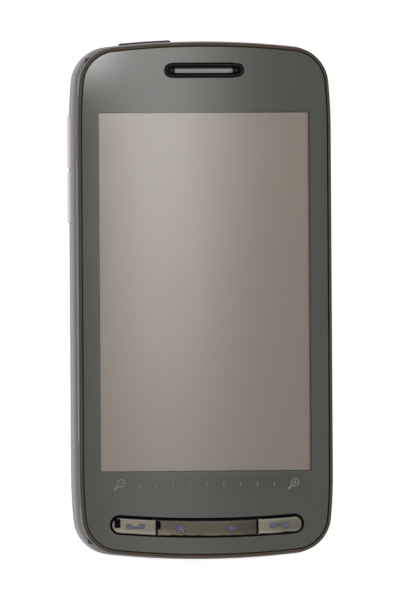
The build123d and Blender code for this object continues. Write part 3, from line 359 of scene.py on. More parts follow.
@dataclass(frozen=True)
class Coat(Finish):
    """Moulded plastic, lacquer or metal with grain, mottle, flakes, hairlines and worn edges."""

    MOTTLE_ROUGH: ClassVar[float] = 0.10
    GRAIN_ROUGH: ClassVar[float] = 0.08
    ROUGH_LIMITS: ClassVar[Point] = (0.04, 0.95)
    FLAKE_SIZE: ClassVar[float] = 0.22
    FLAKE_EDGE: ClassVar[Point] = (0.32, 0.12)
    FLAKE_LIFT: ClassVar[Point] = (2.4, 0.04)
    BRUSH_RELIEF: ClassVar[float] = 0.6
    BRUSH_SHADE: ClassVar[float] = 0.24
    WEAR_BAND: ClassVar[Triple] = (0.25, 0.95, 0.2)
    WEAR_SIZE: ClassVar[float] = 1.6
    WEAR_EDGE: ClassVar[Point] = (0.46, 0.66)
    WEAR_POLISH: ClassVar[float] = 0.12
    SCRATCHES: ClassVar[tuple[Hairlines, Hairlines]] = (
        Hairlines(7.0, 0.05, 24.0, 0.02),
        Hairlines(5.0, 0.045, -52.0, 0.02),
    )
    SCRATCH_LIFT: ClassVar[Point] = (1.7, 0.03)
    SCRATCH_ROUGH: ClassVar[float] = 0.15
    DULL_ROUGH: ClassVar[float] = 0.6

    name: str
    base: Colour
    roughness: float = 0.5
    metallic: float = 0.0
    grain: float = 0.12
    grain_depth: float = 0.006
    mottle: float = 0.08
    mottle_size: float = 9.0
    flake: float = 0.0
    worn: Colour = (0.5, 0.5, 0.5)
    wear: float = 0.0
    scratch: float = 0.0
    brushed: Optional[Triple] = None
    clear_coat: float = 0.0
    specular: float = 0.5

    def draw(self, graph: Graph) -> None:
        """Lays out the finish's nodes in an empty graph."""
        graph.output(self.shader(graph, graph.place()))

    def lighter(self, gain: float, lift: float) -> Colour:
        """The base colour, multiplied and lifted, and kept under white."""
        return tuple(min(1.0, channel * gain + lift) for channel in self.base)

    def shader(
        self, graph: Graph, place: Sock, drawn_base: Optional[Sock] = None, dull: Optional[Sock] = None
    ) -> Sock:
        """The finish's shader.

        Args:
            graph: The graph.
            place: Place in millimetres.
            drawn_base: A colour that varies over the surface, in place of the base.
            dull: Where the surface is rough and not metallic, from 0 to 1.

        Returns:
            The shader.
        """
        cloud = graph.noise(place, self.mottle_size, detail=2.0)
        fine = graph.noise(place, self.grain, detail=2.0, rough=0.6)
        shade = 1.0 + (cloud - 0.5) * (2 * self.mottle) + (fine - 0.5) * self.mottle
        colour = graph.tint(self.base if drawn_base is None else drawn_base, shade)
        rough = self.roughness + (cloud - 0.5) * self.MOTTLE_ROUGH + (fine - 0.5) * self.GRAIN_ROUGH
        height = fine
        if self.flake:
            sparks = graph.cells(place, self.FLAKE_SIZE).ramp(*self.FLAKE_EDGE)
            colour = graph.mix(colour, self.lighter(*self.FLAKE_LIFT), sparks * self.flake)
        if self.brushed:
            lines = graph.streaks(place, self.brushed, detail=2.0)
            height = height * (1 - self.BRUSH_RELIEF) + lines * self.BRUSH_RELIEF
            colour = graph.tint(colour, 1 - self.BRUSH_SHADE / 2 + lines * self.BRUSH_SHADE)
        if self.wear:
            rim = abs(graph.facing()[2]).within(*self.WEAR_BAND)
            patchy = graph.noise(place, self.WEAR_SIZE, detail=4.0, rough=0.7).ramp(*self.WEAR_EDGE)
            worn = rim * patchy * self.wear
            colour = graph.mix(colour, self.worn, worn)
            rough = rough - worn * self.WEAR_POLISH
        if self.scratch:
            one_way, other_way = (graph.scratches(place, lines) for lines in self.SCRATCHES)
            marks = one_way.most(other_way)
            colour = graph.mix(colour, self.lighter(*self.SCRATCH_LIFT), marks * self.scratch)
            rough = rough + marks * self.SCRATCH_ROUGH
        metallic: Value = self.metallic
        if dull is not None:
            rough = rough + dull * self.DULL_ROUGH
            metallic = (1.0 - dull) * self.metallic
        smoothest, roughest = self.ROUGH_LIMITS
        return graph.principled(
            Base_Color=colour,
            Roughness=rough.most(smoothest).least(roughest),
            Metallic=metallic,
            Normal=graph.bump(height, self.grain_depth),
            Coat_Weight=self.clear_coat,
            Specular_IOR_Level=self.specular,
        )


@dataclass(frozen=True)
class RimmedCoat(Finish):
    """A coat with a rim of another colour outside the line that the display half covers."""

    name: str
    inner: Coat
    rim: Colour
    half_width: float
    half_length: float
    shoulder_start: float
    shoulder_radius: float = 110.0
    end_radius: float = 190.0
    line_edge: Point = (-0.08, 0.08)
    wall_turn: Point = (0.85, 0.6)

    def draw(self, graph: Graph) -> None:
        """Lays out the finish's nodes.

        Args:
            graph: The empty graph.
        """
        place = graph.place()
        x, y, _ = graph.split(place)
        past = (abs(y) - self.shoulder_start).most(0.0)
        drawn_in = past * past / (2 * self.shoulder_radius)
        outside = (abs(x) + drawn_in - self.half_width).ramp(*self.line_edge)
        beyond = (abs(y) + x * x / (2 * self.end_radius) - self.half_length).ramp(*self.line_edge)
        wall = abs(graph.facing()[2]).ramp(*self.wall_turn)
        base = graph.mix(self.inner.base, self.rim, outside.most(beyond).most(wall))
        graph.output(self.inner.shader(graph, place, base))


@dataclass(frozen=True)
class PaintedShadeEdge(Finish):
    """A coat with painted shade: darker where an edge turns away from the display's side."""

    name: str
    inner: Coat
    # Colour of the painted shade on edges that turn away.
    edge: Colour
    edge_turn: Point = (0.8, 0.5)

    def draw(self, graph: Graph) -> None:
        """Lays out the finish's nodes.

        Args:
            graph: The empty graph.
        """
        turned = graph.facing()[2].ramp(*self.edge_turn)
        base = graph.mix(self.inner.base, self.edge, turned)
        graph.output(self.inner.shader(graph, graph.place(), base))


@dataclass(frozen=True)
class PlatedKey(Finish):
    """Plating of a key in the bowed strip, with painted light: black painted shade round its edge, painted
    highlights along its long sides, and painted reflections that darken or brighten it towards its ends.

    A run is where a change across the strip starts and ends, and a rise is where one along its height does.
    """

    name: str
    inner: Coat
    painted_highlight: Colour
    middle_y: float
    bow_radius: float
    # The edge colour is painted shade: near black where the key's rim turns away and meets the gap round it.
    edge: Colour = (0.006, 0.006, 0.01)
    edge_turn: Point = (0.88, 0.8)
    upper_edge: Point = (1.5, 1.6)
    lower_edge: Point = (-1.68, -1.74)
    end_run: Point = (19.6, 19.9)
    split_x: float = 11.4
    split_reach: Point = (0.7, 0.9)
    # Bands along the key's lower and upper sides in the highlight colour: painted highlights.
    lower_line: Triple = (-1.6, -1.05, 0.3)
    lower_amount: float = 0.5
    upper_line: Triple = (1.3, 1.55, 0.15)
    upper_amount: float = 0.6
    # dim, warm and far_dim paint reflections into the colour: dim darkens the key towards its right end, warm
    # brightens its lower left as a painted highlight, and far_dim darkens the right end of the strip below
    # its top edge as painted shade.
    dim_run: Point = (3.0, 11.5)
    dim: float = 0.0
    warm_run: Point = (-5.0, -10.0)
    warm_rise: Point = (0.4, -1.0)
    warm: float = 0.0
    far_run: Point = (11.3, 18.0)
    far_rise: Point = (2.4, 0.2)
    far_dim: float = 0.0

    def draw(self, graph: Graph) -> None:
        """Lays out the finish's nodes.

        Args:
            graph: The empty graph.
        """
        place = graph.place()
        x, y, _ = graph.split(place)
        level = y - self.middle_y - x * x / (2 * self.bow_radius)
        # Painted reflections: shade towards the right and a highlight at the lower left.
        shade = 1.0 - x.ramp(*self.dim_run) * self.dim
        shade = shade + x.ramp(*self.warm_run) * level.ramp(*self.warm_rise) * self.warm
        shade = shade - x.ramp(*self.far_run) * level.ramp(*self.far_rise) * self.far_dim
        # Painted highlights along the long sides.
        lower = level.within(*self.lower_line) * self.lower_amount
        upper = level.within(*self.upper_line) * self.upper_amount
        colour = graph.mix(self.inner.base, self.painted_highlight, lower.most(upper))
        # dark is the mask of the painted shade round the key's edge; it also makes that band rough and not
        # metallic.
        dark = graph.facing()[2].ramp(*self.edge_turn) * abs(x).ramp(*self.end_run)
        dark = dark.most(level.ramp(*self.upper_edge)).most(level.ramp(*self.lower_edge))
        dark = dark * abs(abs(x) - self.split_x).ramp(*self.split_reach)
        colour = graph.mix(graph.tint(colour, shade), self.edge, dark)
        graph.output(self.inner.shader(graph, place, colour, dark))


@dataclass(frozen=True)
class TouchGlass(Finish):
    """Clear panel with a dark border printed behind it, round a window and over a touch strip."""

    name: str
    window: Sides
    strip: Sides
    window_soft: float = 0.06
    line_inset: float = 0.1
    line_width: float = 0.22
    line_soft: float = 0.08
    line_depth: float = 0.75
    strip_soft: float = 0.5
    strip_depth: float = 0.14
    haze_size: float = 14.0
    haze_depth: float = 0.10
    haze_rough: float = 0.02
    dust_size: float = 5.5
    dust_edge: Point = (0.020, 0.008)
    scratch: Hairlines = Hairlines(3.2, 0.06, 48.0, 0.012)
    scratch_share: float = 0.5
    scratch_rough: float = 0.2
    mark: Colour = (0.30, 0.30, 0.28)
    mark_amount: float = 0.5
    border: Colour = (0.049, 0.049, 0.038)
    clear: Colour = (0.96, 0.96, 0.95)
    roughness: float = 0.035
    rear_turn: Point = (-0.9, -0.5)

    def draw(self, graph: Graph) -> None:
        """Lays out the finish's nodes.

        Args:
            graph: The empty graph.
        """
        place = graph.place()
        x, y, _ = graph.split(place)
        left, right, bottom, top = self.window
        wide, soft = self.line_width, self.line_soft
        opening = x.within(left, right, self.window_soft) * y.within(bottom, top, self.window_soft)
        line = x.within(left - self.line_inset, right + wide, soft)
        line = line * y.within(bottom - wide, top + wide, soft)
        left, right, bottom, top = self.strip
        touch = x.within(left, right, self.strip_soft) * y.within(bottom, top, self.strip_soft)
        haze = graph.noise(place, self.haze_size)
        dust = graph.cells(place, self.dust_size).ramp(*self.dust_edge)
        marks = graph.scratches(place, self.scratch)
        shade = 1.0 + (haze - 0.5) * self.haze_depth - touch * self.strip_depth
        shade = shade * (1.0 - line * self.line_depth)
        marked = (dust + marks * self.scratch_share).unit() * self.mark_amount
        printed = graph.principled(
            Base_Color=graph.mix(graph.tint(self.border, shade), self.mark, marked),
            Roughness=self.roughness + (haze - 0.5) * self.haze_rough + marks * self.scratch_rough,
        )
        rear = 1.0 - graph.facing()[2].ramp(*self.rear_turn)
        graph.output(graph.cover(printed, graph.clear(self.clear), opening.most(rear)))


@dataclass(frozen=True)
class DisplayFace(Finish):
    """Unlit display: a warm grey active area with painted shade along its right side, in a dark frame."""

    name: str
    active: Sides
    frame_colour: Colour = (0.03, 0.03, 0.035)
    top_colour: Colour = (0.21, 0.161, 0.121)
    bottom_colour: Colour = (0.188, 0.1455, 0.111)
    margin: float = 0.3
    margin_soft: float = 0.05
    rise_share: float = 0.75
    drift_size: float = 22.0
    drift_share: float = 0.3
    drift_rough: float = 0.02
    grain_size: float = 0.35
    grain_depth: float = 0.07
    shade_run: Point = (-0.6, 0.2)
    shade_depth: float = 0.62
    polish: float = 0.05
    bending: float = 1.7
    gloss: float = 0.71

    def draw(self, graph: Graph) -> None:
        """Lays out the finish's nodes.

        Args:
            graph: The empty graph.
        """
        place = graph.place()
        x, y, _ = graph.split(place)
        left, right, bottom, top = self.active
        spare, soft = self.margin, self.margin_soft
        lit = x.within(left - spare, right + spare, soft) * y.within(bottom - spare, top + spare, soft)
        # Painted shade along the active area's right side, where the window's edge shades the display.
        shaded = (x - right).ramp(*self.shade_run)
        rise = y.ramp(bottom, top)
        drift = graph.noise(place, self.drift_size, detail=2.0)
        upper = (rise * self.rise_share + drift * self.drift_share).unit()
        body = graph.mix(self.bottom_colour, self.top_colour, upper)
        grain = graph.noise(place, self.grain_size, detail=2.0, rough=0.7)
        body = graph.tint(body, 1.0 - self.grain_depth / 2 + grain * self.grain_depth)
        body = graph.tint(body, 1.0 - shaded * self.shade_depth)
        shader = graph.principled(
            Base_Color=graph.mix(self.frame_colour, body, lit),
            Roughness=self.polish + (drift - 0.5) * self.drift_rough,
            IOR=self.bending,
            Specular_IOR_Level=self.gloss,
        )
        graph.output(shader)


@dataclass(frozen=True)
class Laminate(Finish):
    """Circuit board: lacquered laminate with tracks, pads and a fine weave under the lacquer."""

    name: str
    base: Colour = (0.02, 0.09, 0.045)
    copper: Colour = (0.05, 0.17, 0.08)
    gilt: Colour = (0.62, 0.45, 0.18)
    track_size: float = 1.1
    track_edge: Point = (0.10, 0.05)
    pad_size: float = 1.7
    pad_edge: Point = (0.16, 0.12)
    pad_polish: float = 0.15
    weave_stretch: Triple = (3.0, 0.6, 1.0)
    weave_size: float = 0.4
    weave_depth: float = 0.3
    roughness: float = 0.42
    relief: float = 0.02

    def draw(self, graph: Graph) -> None:
        """Lays out the finish's nodes.

        Args:
            graph: The empty graph.
        """
        place = graph.place()
        tracks = graph.cells(place, self.track_size, Reach.WALL).ramp(*self.track_edge)
        pads = graph.cells(place, self.pad_size).ramp(*self.pad_edge)
        weave = graph.noise(graph.stretch(place, self.weave_stretch), self.weave_size, detail=2.0)
        board = graph.tint(self.base, 1.0 - self.weave_depth / 2 + weave * self.weave_depth)
        shader = graph.principled(
            Base_Color=graph.mix(graph.mix(board, self.copper, tracks), self.gilt, pads),
            Roughness=self.roughness - pads * self.pad_polish,
            Metallic=pads,
            Normal=graph.bump(tracks + pads, self.relief),
        )
        graph.output(shader)


@dataclass(frozen=True)
class LensGlass(Finish):
    """Coated cover lens, clear in the middle over a dark well."""

    name: str
    tint: Colour = (0.55, 0.6, 0.72)
    blue_sheen: Colour = (0.02, 0.02, 0.05)
    violet_sheen: Colour = (0.06, 0.03, 0.10)
    smear_size: float = 1.2
    smear_rough: float = 0.04
    roughness: float = 0.05
    bending: float = 1.6
    rim_gain: float = 2.0
    rim_lift: float = 0.15

    def draw(self, graph: Graph) -> None:
        """Lays out the finish's nodes.

        Args:
            graph: The empty graph.
        """
        smear = graph.noise(graph.place(), self.smear_size)
        coated = graph.principled(
            Base_Color=graph.mix(self.blue_sheen, self.violet_sheen, smear),
            Roughness=self.roughness + smear * self.smear_rough,
            Coat_Weight=1.0,
        )
        rim = graph.node("ShaderNodeFresnel", None, {"IOR": self.bending})
        shown = (rim * self.rim_gain + self.rim_lift).unit()
        graph.output(graph.cover(graph.clear(self.tint), coated, shown))


# ---- meshes ---------------------------------------------------------------------------------------------


Ring = list[bmesh.types.BMVert]


class Shape:
    """A mesh under construction, in millimetres of the phone's frame."""

    def __init__(self) -> None:
        """Starts an empty mesh."""
        self.mesh = bmesh.new()

    def prism(self, outline: Sequence[Point], low: float, high: float, bevel: float = 0.0) -> None:
        """Adds an upright prism.

        Args:
            outline: Its corners in plan, anticlockwise.
            low: Height of its foot.
            high: Height of its top.
            bevel: Width of the chamfer round its top.
        """
        rings = [self._ring(outline, low)]
        if bevel:
            rings.append(self._ring(outline, high - bevel))
            outline = self._drawn_in(outline, bevel)
        rings.append(self._ring(outline, high))
        self._skirts(rings)
        self.mesh.faces.new(rings[-1])
        self.mesh.faces.new(list(reversed(rings[0])))

    def frame(self, outer: Sequence[Point], inner: Sequence[Point], low: float, high: float) -> None:
        """Adds a flat ring between two outlines that have as many corners.

        Args:
            outer: Its outside in plan, anticlockwise.
            inner: Its inside in plan, anticlockwise.
            low: Height of its foot.
            high: Height of its top.
        """
        rings = [
            self._ring(outline, level)
            for outline, level in ((outer, low), (outer, high), (inner, high), (inner, low))
        ]
        self._skirts(rings + rings[:1])

    def bead(
        self, centre: Point, length: float, width: float, band: float, low: float, high: float, steps: int = 7
    ) -> None:
        """Adds a round-topped ring that follows an oblong with round ends.

        Args:
            centre: Its middle in plan.
            length: Its outside length.
            width: Its outside width.
            band: How wide the ring is.
            low: Height of its foot.
            high: Height of its crest.
            steps: Rings of corners over the crest.
        """
        rings = []
        for step in range(steps):
            turn = pi * step / (steps - 1)
            inset = band * (1 - cos(turn))
            outline = stadium(centre, length - inset, width - inset)
            rings.append(self._ring(outline, low + (high - low) * sin(turn)))
        self._skirts(rings + rings[:1])

    def dome(
        self, centre: Point, radius: float, low: float, high: float, rings: int = 3, sides: int = 12
    ) -> None:
        """Adds a low dome with a closed foot.

        Args:
            centre: Its middle in plan.
            radius: Its radius.
            low: Height of its foot.
            high: Height of its top.
            rings: Rings of faces under the top.
            sides: Corners round it.
        """
        loops = []
        for step in range(rings):
            turn = pi / 2 * step / rings
            outline = circle(centre, radius * cos(turn), sides)
            loops.append(self._ring(outline, low + (high - low) * sin(turn)))
        self._skirts(loops)
        top = self.mesh.verts.new((*centre, high))
        for near, far in zip(loops[-1], loops[-1][1:] + loops[-1][:1]):
            self.mesh.faces.new((near, far, top))
        self.mesh.faces.new(list(reversed(loops[0])))

    def turn(self, change: Matrix) -> None:
        """Turns and moves everything made so far, in millimetres."""
        bmesh.ops.transform(self.mesh, matrix=change, verts=self.mesh.verts)

    def piece(
        self, name: str, body: str, finish: Finish, smooth: bool = False
    ) -> bpy.types.Object:
        """Turns the mesh into a piece of the phone.

        Args:
            name: The piece's name.
            body: The CAD body that it rides on.
            finish: What it is dressed in.
            smooth: Whether its faces shade into one another.

        Returns:
            The piece.
        """
        bmesh.ops.scale(self.mesh, vec=(MM, MM, MM), verts=self.mesh.verts)
        bmesh.ops.recalc_face_normals(self.mesh, faces=self.mesh.faces)
        data = bpy.data.meshes.new(name)
        for face in self.mesh.faces:
            face.smooth = smooth
        self.mesh.to_mesh(data)
        self.mesh.free()
        made = bpy.data.objects.new(name, data)
        bpy.context.scene.collection.objects.link(made)
        data.materials.append(finish.material())
        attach(made, body)
        log.info("%s on %s, %d faces", name, body, len(data.polygons))
        return made

    def _ring(self, outline: Iterable[Point], level: float) -> Ring:
        """Corners of an outline at a height."""
        return [self.mesh.verts.new((x, y, level)) for x, y in outline]

    def _skirts(self, rings: Sequence[Ring]) -> None:
        """Adds faces between each ring and the next.

        Args:
            rings: The rings, with as many corners each.
        """
        for lower, upper in zip(rings, rings[1:]):
            for index, corner in enumerate(lower):
                following = (index + 1) % len(lower)
                self.mesh.faces.new((corner, lower[following], upper[following], upper[index]))

    @staticmethod
    def _drawn_in(outline: Sequence[Point], inset: float) -> list[Point]:
        """An outline moved inwards along its corners' bisectors.

        Args:
            outline: Its corners, anticlockwise.
            inset: How far its corners move.

        Returns:
            The corners.
        """
        moved = []
        for index, corner in enumerate(outline):
            here, following = Vector(corner), Vector(outline[(index + 1) % len(outline)])
            before = (here - Vector(outline[index - 1])).normalized()
            after = (following - here).normalized()
            inward = Vector((-before.y - after.y, before.x + after.x)).normalized() * inset
            moved.append((here.x + inward.x, here.y + inward.y))
        return moved


def arc(centre: Point, radius: float, start: float, end: float, steps: int) -> list[Point]:
    """Points along an arc, with both its ends.

    Args:
        centre: Its centre.
        radius: Its radius.
        start: Where it starts, in radians round from X.
        end: Where it ends.
        steps: Spans between the points.

    Returns:
        The points.
    """
    turns = [start + (end - start) * step / steps for step in range(steps + 1)]
    return [(centre[0] + radius * cos(turn), centre[1] + radius * sin(turn)) for turn in turns]


def placed(outline: Iterable[Point], centre: Point, degrees: float = 0.0) -> list[Point]:
    """An outline turned about its origin and moved.

    Args:
        outline: Its corners.
        centre: Where its origin goes.
        degrees: How far it is turned.

    Returns:
        The corners.
    """
    c, s = cos(radians(degrees)), sin(radians(degrees))
    return [(centre[0] + c * x - s * y, centre[1] + s * x + c * y) for x, y in outline]


def circle(centre: Point, radius: float, sides: int = 24) -> list[Point]:
    """Corners round a circle, anticlockwise.

    Args:
        centre: Its middle.
        radius: Its radius.
        sides: How many corners.

    Returns:
        The corners.
    """
    return arc(centre, radius, 0.0, 2 * pi, sides)[:-1]


def oblong(
    centre: Point, length: float, width: float, degrees: float = 0.0, corner: float = 0.0
) -> list[Point]:
    """Corners of a rectangle whose corners may be rounded, anticlockwise.

    Args:
        centre: Its middle.
        length: Its size along its own X.
        width: Its size along its own Y.
        degrees: How far it is turned.
        corner: Its corners' radius.

    Returns:
        The corners.
    """
    points = []
    for quarter, (sx, sy) in enumerate(((1, 1), (-1, 1), (-1, -1), (1, -1))):
        middle = (sx * (length / 2 - corner), sy * (width / 2 - corner))
        start = pi / 2 * quarter
        points += arc(middle, corner, start, start + pi / 2, 4) if corner else [middle]
    return placed(points, centre, degrees)


def stadium(centre: Point, length: float, width: float, steps: int = 12) -> list[Point]:
    """Corners of an oblong with half-round ends, anticlockwise.

    Args:
        centre: Its middle.
        length: Its length, along X.
        width: Its width.
        steps: Faces round each end.

    Returns:
        The corners.
    """
    radius, reach = width / 2, (length - width) / 2
    right = arc((centre[0] + reach, centre[1]), radius, -pi / 2, pi / 2, steps)
    left = arc((centre[0] - reach, centre[1]), radius, pi / 2, 3 * pi / 2, steps)
    return right + left


def bowed_slot(
    middle: Point, bow_radius: float, half_length: float, height: float, steps: int = 14
) -> list[Point]:
    """Corners of a slot with half-round ends that bows upwards at both ends, anticlockwise.

    Args:
        middle: The lowest point of its middle line.
        bow_radius: Radius of its middle line.
        half_length: Half of its whole length.
        height: Its width across the middle line.
        steps: Faces along each side and round each end.

    Returns:
        The corners.
    """
    radius, quarter = height / 2, pi / 2
    reach = asin((half_length - radius) / bow_radius)
    pivot = (middle[0], middle[1] + bow_radius)
    left, right = arc(pivot, bow_radius, -quarter - reach, -quarter + reach, 1)
    return (
        arc(pivot, bow_radius + radius, -quarter - reach, -quarter + reach, steps)
        + arc(right, radius, -quarter + reach, quarter + reach, steps)[1:-1]
        + arc(pivot, bow_radius - radius, -quarter + reach, -quarter - reach, steps)
        + arc(left, radius, quarter - reach, 3 * quarter - reach, steps)[1:-1]
    )


def grown(outline: Sequence[Point], width: float) -> list[Point]:
    """An outline moved outwards by a width.

    Args:
        outline: Its corners, anticlockwise.
        width: How far its sides move.

    Returns:
        The corners.
    """
    sharpest = 0.5
    moved = []
    for index, corner in enumerate(outline):
        here, following = Vector(corner), Vector(outline[(index + 1) % len(outline)])
        before = (here - Vector(outline[index - 1])).normalized()
        after = (following - here).normalized()
        side = Vector((before.y, -before.x))
        normal = (side + Vector((after.y, -after.x))).normalized()
        reach = width / max(sharpest, normal.dot(side))
        moved.append((here.x + reach * normal.x, here.y + reach * normal.y))
    return moved


def span(node: str) -> tuple[Vector, Vector]:
    """A CAD node's lowest and highest corners, in millimetres.

    Args:
        node: The node's name.

    Returns:
        The two corners.
    """
    low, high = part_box(node)
    return low / MM, high / MM


def layer(node: str, rise: float) -> Point:
    """Foot and top of a thin layer on a CAD node, in millimetres.

    Args:
        node: The node's name.
        rise: How far the layer stands over the node's top, and reaches under it.

    Returns:
        The two heights.
    """
    top = span(node)[1].z
    return top - rise, top + rise


def dress(finish: Finish, *nodes: str) -> None:
    """Gives CAD nodes a finish.

    Args:
        finish: The finish.
        nodes: The nodes' names.
    """
    for node in nodes:
        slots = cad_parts[node].data.materials
        for index in range(len(slots)):
            slots[index] = finish.material()
        log.info("%s dressed in %s", node, finish.name)


SATIN_GREY = Coat(
    "satin_grey",
    (0.28, 0.27, 0.28),
    roughness=0.42,
    grain=0.14,
    mottle=0.05,
    flake=0.12,
    worn=(0.5, 0.49, 0.5),
    wear=0.25,
    scratch=0.2,
    specular=0.1,
)


# ---- the display half -----------------------------------------------------------------------------------


class Loupe(Enum):
    """The two loupes that end the scale, by their pieces' names."""

    MINUS = "loupe_minus"
    PLUS = "loupe_plus"


@dataclass
class DisplayHalf:
    """The sliding half: touch glass, display, trim ring, earpiece and back cover."""

    window: Sides = (-23.9, 23.63, -38.3, 42.1)
    touch_strip: Sides = (-20.6, 21.0, -42.8, -39.7)
    print_rise: float = 0.012
    tick_count: int = 9
    tick_pitch: float = 3.82
    tick_centre: Point = (0.03, -41.5)
    tick_size: Point = (0.22, 0.95)
    loupe_places: tuple[tuple[Loupe, Point], ...] = (
        (Loupe.MINUS, (-19.44, -41.0)),
        (Loupe.PLUS, (19.98, -41.05)),
    )
    loupe_radius: float = 0.97
    loupe_line: float = 0.26
    loupe_sides: int = 28
    handle_length: float = 1.2
    handle_width: float = 0.494
    handle_overlap: float = 0.05
    handle_turn: float = 45.0
    loupe_sign: Point = (0.95, 0.234)
    weave_pitch: Point = (0.4528, 0.31)
    weave_centre: Point = (-0.05, -0.15)
    weave_count: int = 29
    weave_radius: float = 0.17
    weave_levels: Point = (-0.02, 0.06)
    rim_length: float = 17.55
    rim_width: float = 2.75
    rim_band: float = 0.36
    rim_levels: Point = (-0.03, 0.1)
    plug_reach: float = 7.35
    plug_radius: float = 0.55
    plug_levels: Point = (-0.47, -0.23)
    weave_finish: Coat = Coat("steel_crossings", (0.9, 0.87, 0.83), roughness=0.25, metallic=0.8, grain=0.1)
    rim_finish: Coat = Coat(
        "rim_black", (0.008, 0.008, 0.012), roughness=0.2, grain_depth=0.001, specular=0.2
    )
    print_finish: Coat = Coat("faint_print", (0.16, 0.155, 0.135), roughness=0.35, grain_depth=0.001)
    trim_finish: PaintedShadeEdge = PaintedShadeEdge(
        "bronze_rim",
        Coat(
            "bronze_lacquer",
            (0.064, 0.047, 0.032),
            metallic=0.15,
            grain=0.2,
            grain_depth=0.012,
            flake=0.35,
            mottle=0.2,
            specular=0.3,
        ),
        # Painted shade on the trim ring's turned-away edges.
        (0.016, 0.012, 0.014),
    )

    def build(self) -> None:
        """Makes the fine pieces on the glass."""
        self._scale_ticks()
        for loupe, place in self.loupe_places:
            self._loupe(loupe, place)
        self._weave()
        self._earpiece_rim()

    def _scale_ticks(self) -> None:
        """Ticks of a scale, printed on the glass."""
        levels = layer("front_glass", self.print_rise)
        ticks = Shape()
        for index in range(self.tick_count):
            x = self.tick_centre[0] + (index - (self.tick_count - 1) / 2) * self.tick_pitch
            ticks.prism(oblong((x, self.tick_centre[1]), *self.tick_size), *levels)
        ticks.piece("scale_ticks", "display", self.print_finish)

    def _loupe(self, loupe: Loupe, place: Point) -> None:
        """A loupe with a minus or a plus, printed on the glass.

        Args:
            loupe: Which loupe it is.
            place: The middle of its ring.
        """
        low, high = layer("front_glass", self.print_rise)
        shape = Shape()
        inside = self.loupe_radius - self.loupe_line
        rings = [circle(place, radius, self.loupe_sides) for radius in (self.loupe_radius, inside)]
        shape.frame(*rings, low, high)
        reach = (self.loupe_radius + self.handle_length / 2 - self.handle_overlap) * sin(pi / 4)
        foot = (place[0] - reach, place[1] - reach)
        shape.prism(oblong(foot, self.handle_length, self.handle_width, self.handle_turn), low, high)
        shape.prism(oblong(place, *self.loupe_sign), low, high)
        if loupe is Loupe.PLUS:
            shape.prism(oblong(place, *reversed(self.loupe_sign)), low, high + self.print_rise / 4)
        shape.piece(loupe.value, "display", self.print_finish)

    def _weave(self) -> None:
        """The raised crossings of the earpiece's woven mesh, between its holes."""
        low, high = span("earpiece_grille")
        x, y = self.weave_centre[0], (low.y + high.y) / 2 + self.weave_centre[1]
        across, up = self.weave_pitch
        foot, top = (high.z + level for level in self.weave_levels)
        weave = Shape()
        for row in (-1, 0, 1):
            count = self.weave_count + (row == 0)
            for index in range(count):
                place = (x + (index - (count - 1) / 2) * across, y + row * up)
                weave.dome(place, self.weave_radius, foot, top, rings=2, sides=8)
        weave.piece("grille_weave", "display", self.weave_finish, smooth=True)

    def _earpiece_rim(self) -> None:
        """A raised round-edged ring on the earpiece's bezel, and a plug in each end of its dish."""
        low, high = span("earpiece_bezel")
        y = (low.y + high.y) / 2
        foot, top = (high.z + level for level in self.rim_levels)
        rim = Shape()
        rim.bead((0.0, y), self.rim_length, self.rim_width, self.rim_band, foot, top)
        rim.piece("earpiece_rim", "display", self.rim_finish, smooth=True)
        foot, top = (high.z + level for level in self.plug_levels)
        plugs = Shape()
        for x in (-self.plug_reach, self.plug_reach):
            plugs.dome((x, y), self.plug_radius, foot, top, rings=4, sides=20)
        plugs.piece("dish_plugs", "display", self.rim_finish, smooth=True)

    def dress(self) -> None:
        """Dresses the CAD pieces of this half."""
        dress(TouchGlass("touch_glass", self.window, self.touch_strip), "front_glass")
        dress(DisplayFace("display_face", self.window), "lcd_module")
        dress(self.trim_finish, "front_trim_ring")
        dress(SATIN_GREY, "display_back_cover")
        dress(
            Coat("cast_chassis", (0.42, 0.42, 0.41), roughness=0.45, metallic=0.8, grain_depth=0.01),
            "display_chassis",
        )
        dress(
            Coat("black_gloss", (0.0025, 0.0025, 0.004), roughness=0.25, grain_depth=0.001, specular=0.03),
            "earpiece_bezel",
        )
        # The grille's steel mesh is coloured near black as painted shade, for the shadow it lies in.
        dress(Coat("steel_mesh_painted_shade", (0.05, 0.047, 0.05), metallic=0.3, grain=0.1), "earpiece_grille")
        dress(Coat("black_plastic", (0.02, 0.02, 0.02), roughness=0.55), "earpiece_capsule")
        dress(
            Coat("black_steel", (0.16, 0.16, 0.165), roughness=0.35, metallic=0.9, grain=0.08),
            "display_cover_screws",
            "hinge_screws",
            "base_screws",
        )


# ---- the keys under the display -------------------------------------------------------------------------


class Ears(Enum):
    """Which way a handset's ears point."""

    UP = 1
    DOWN = -1


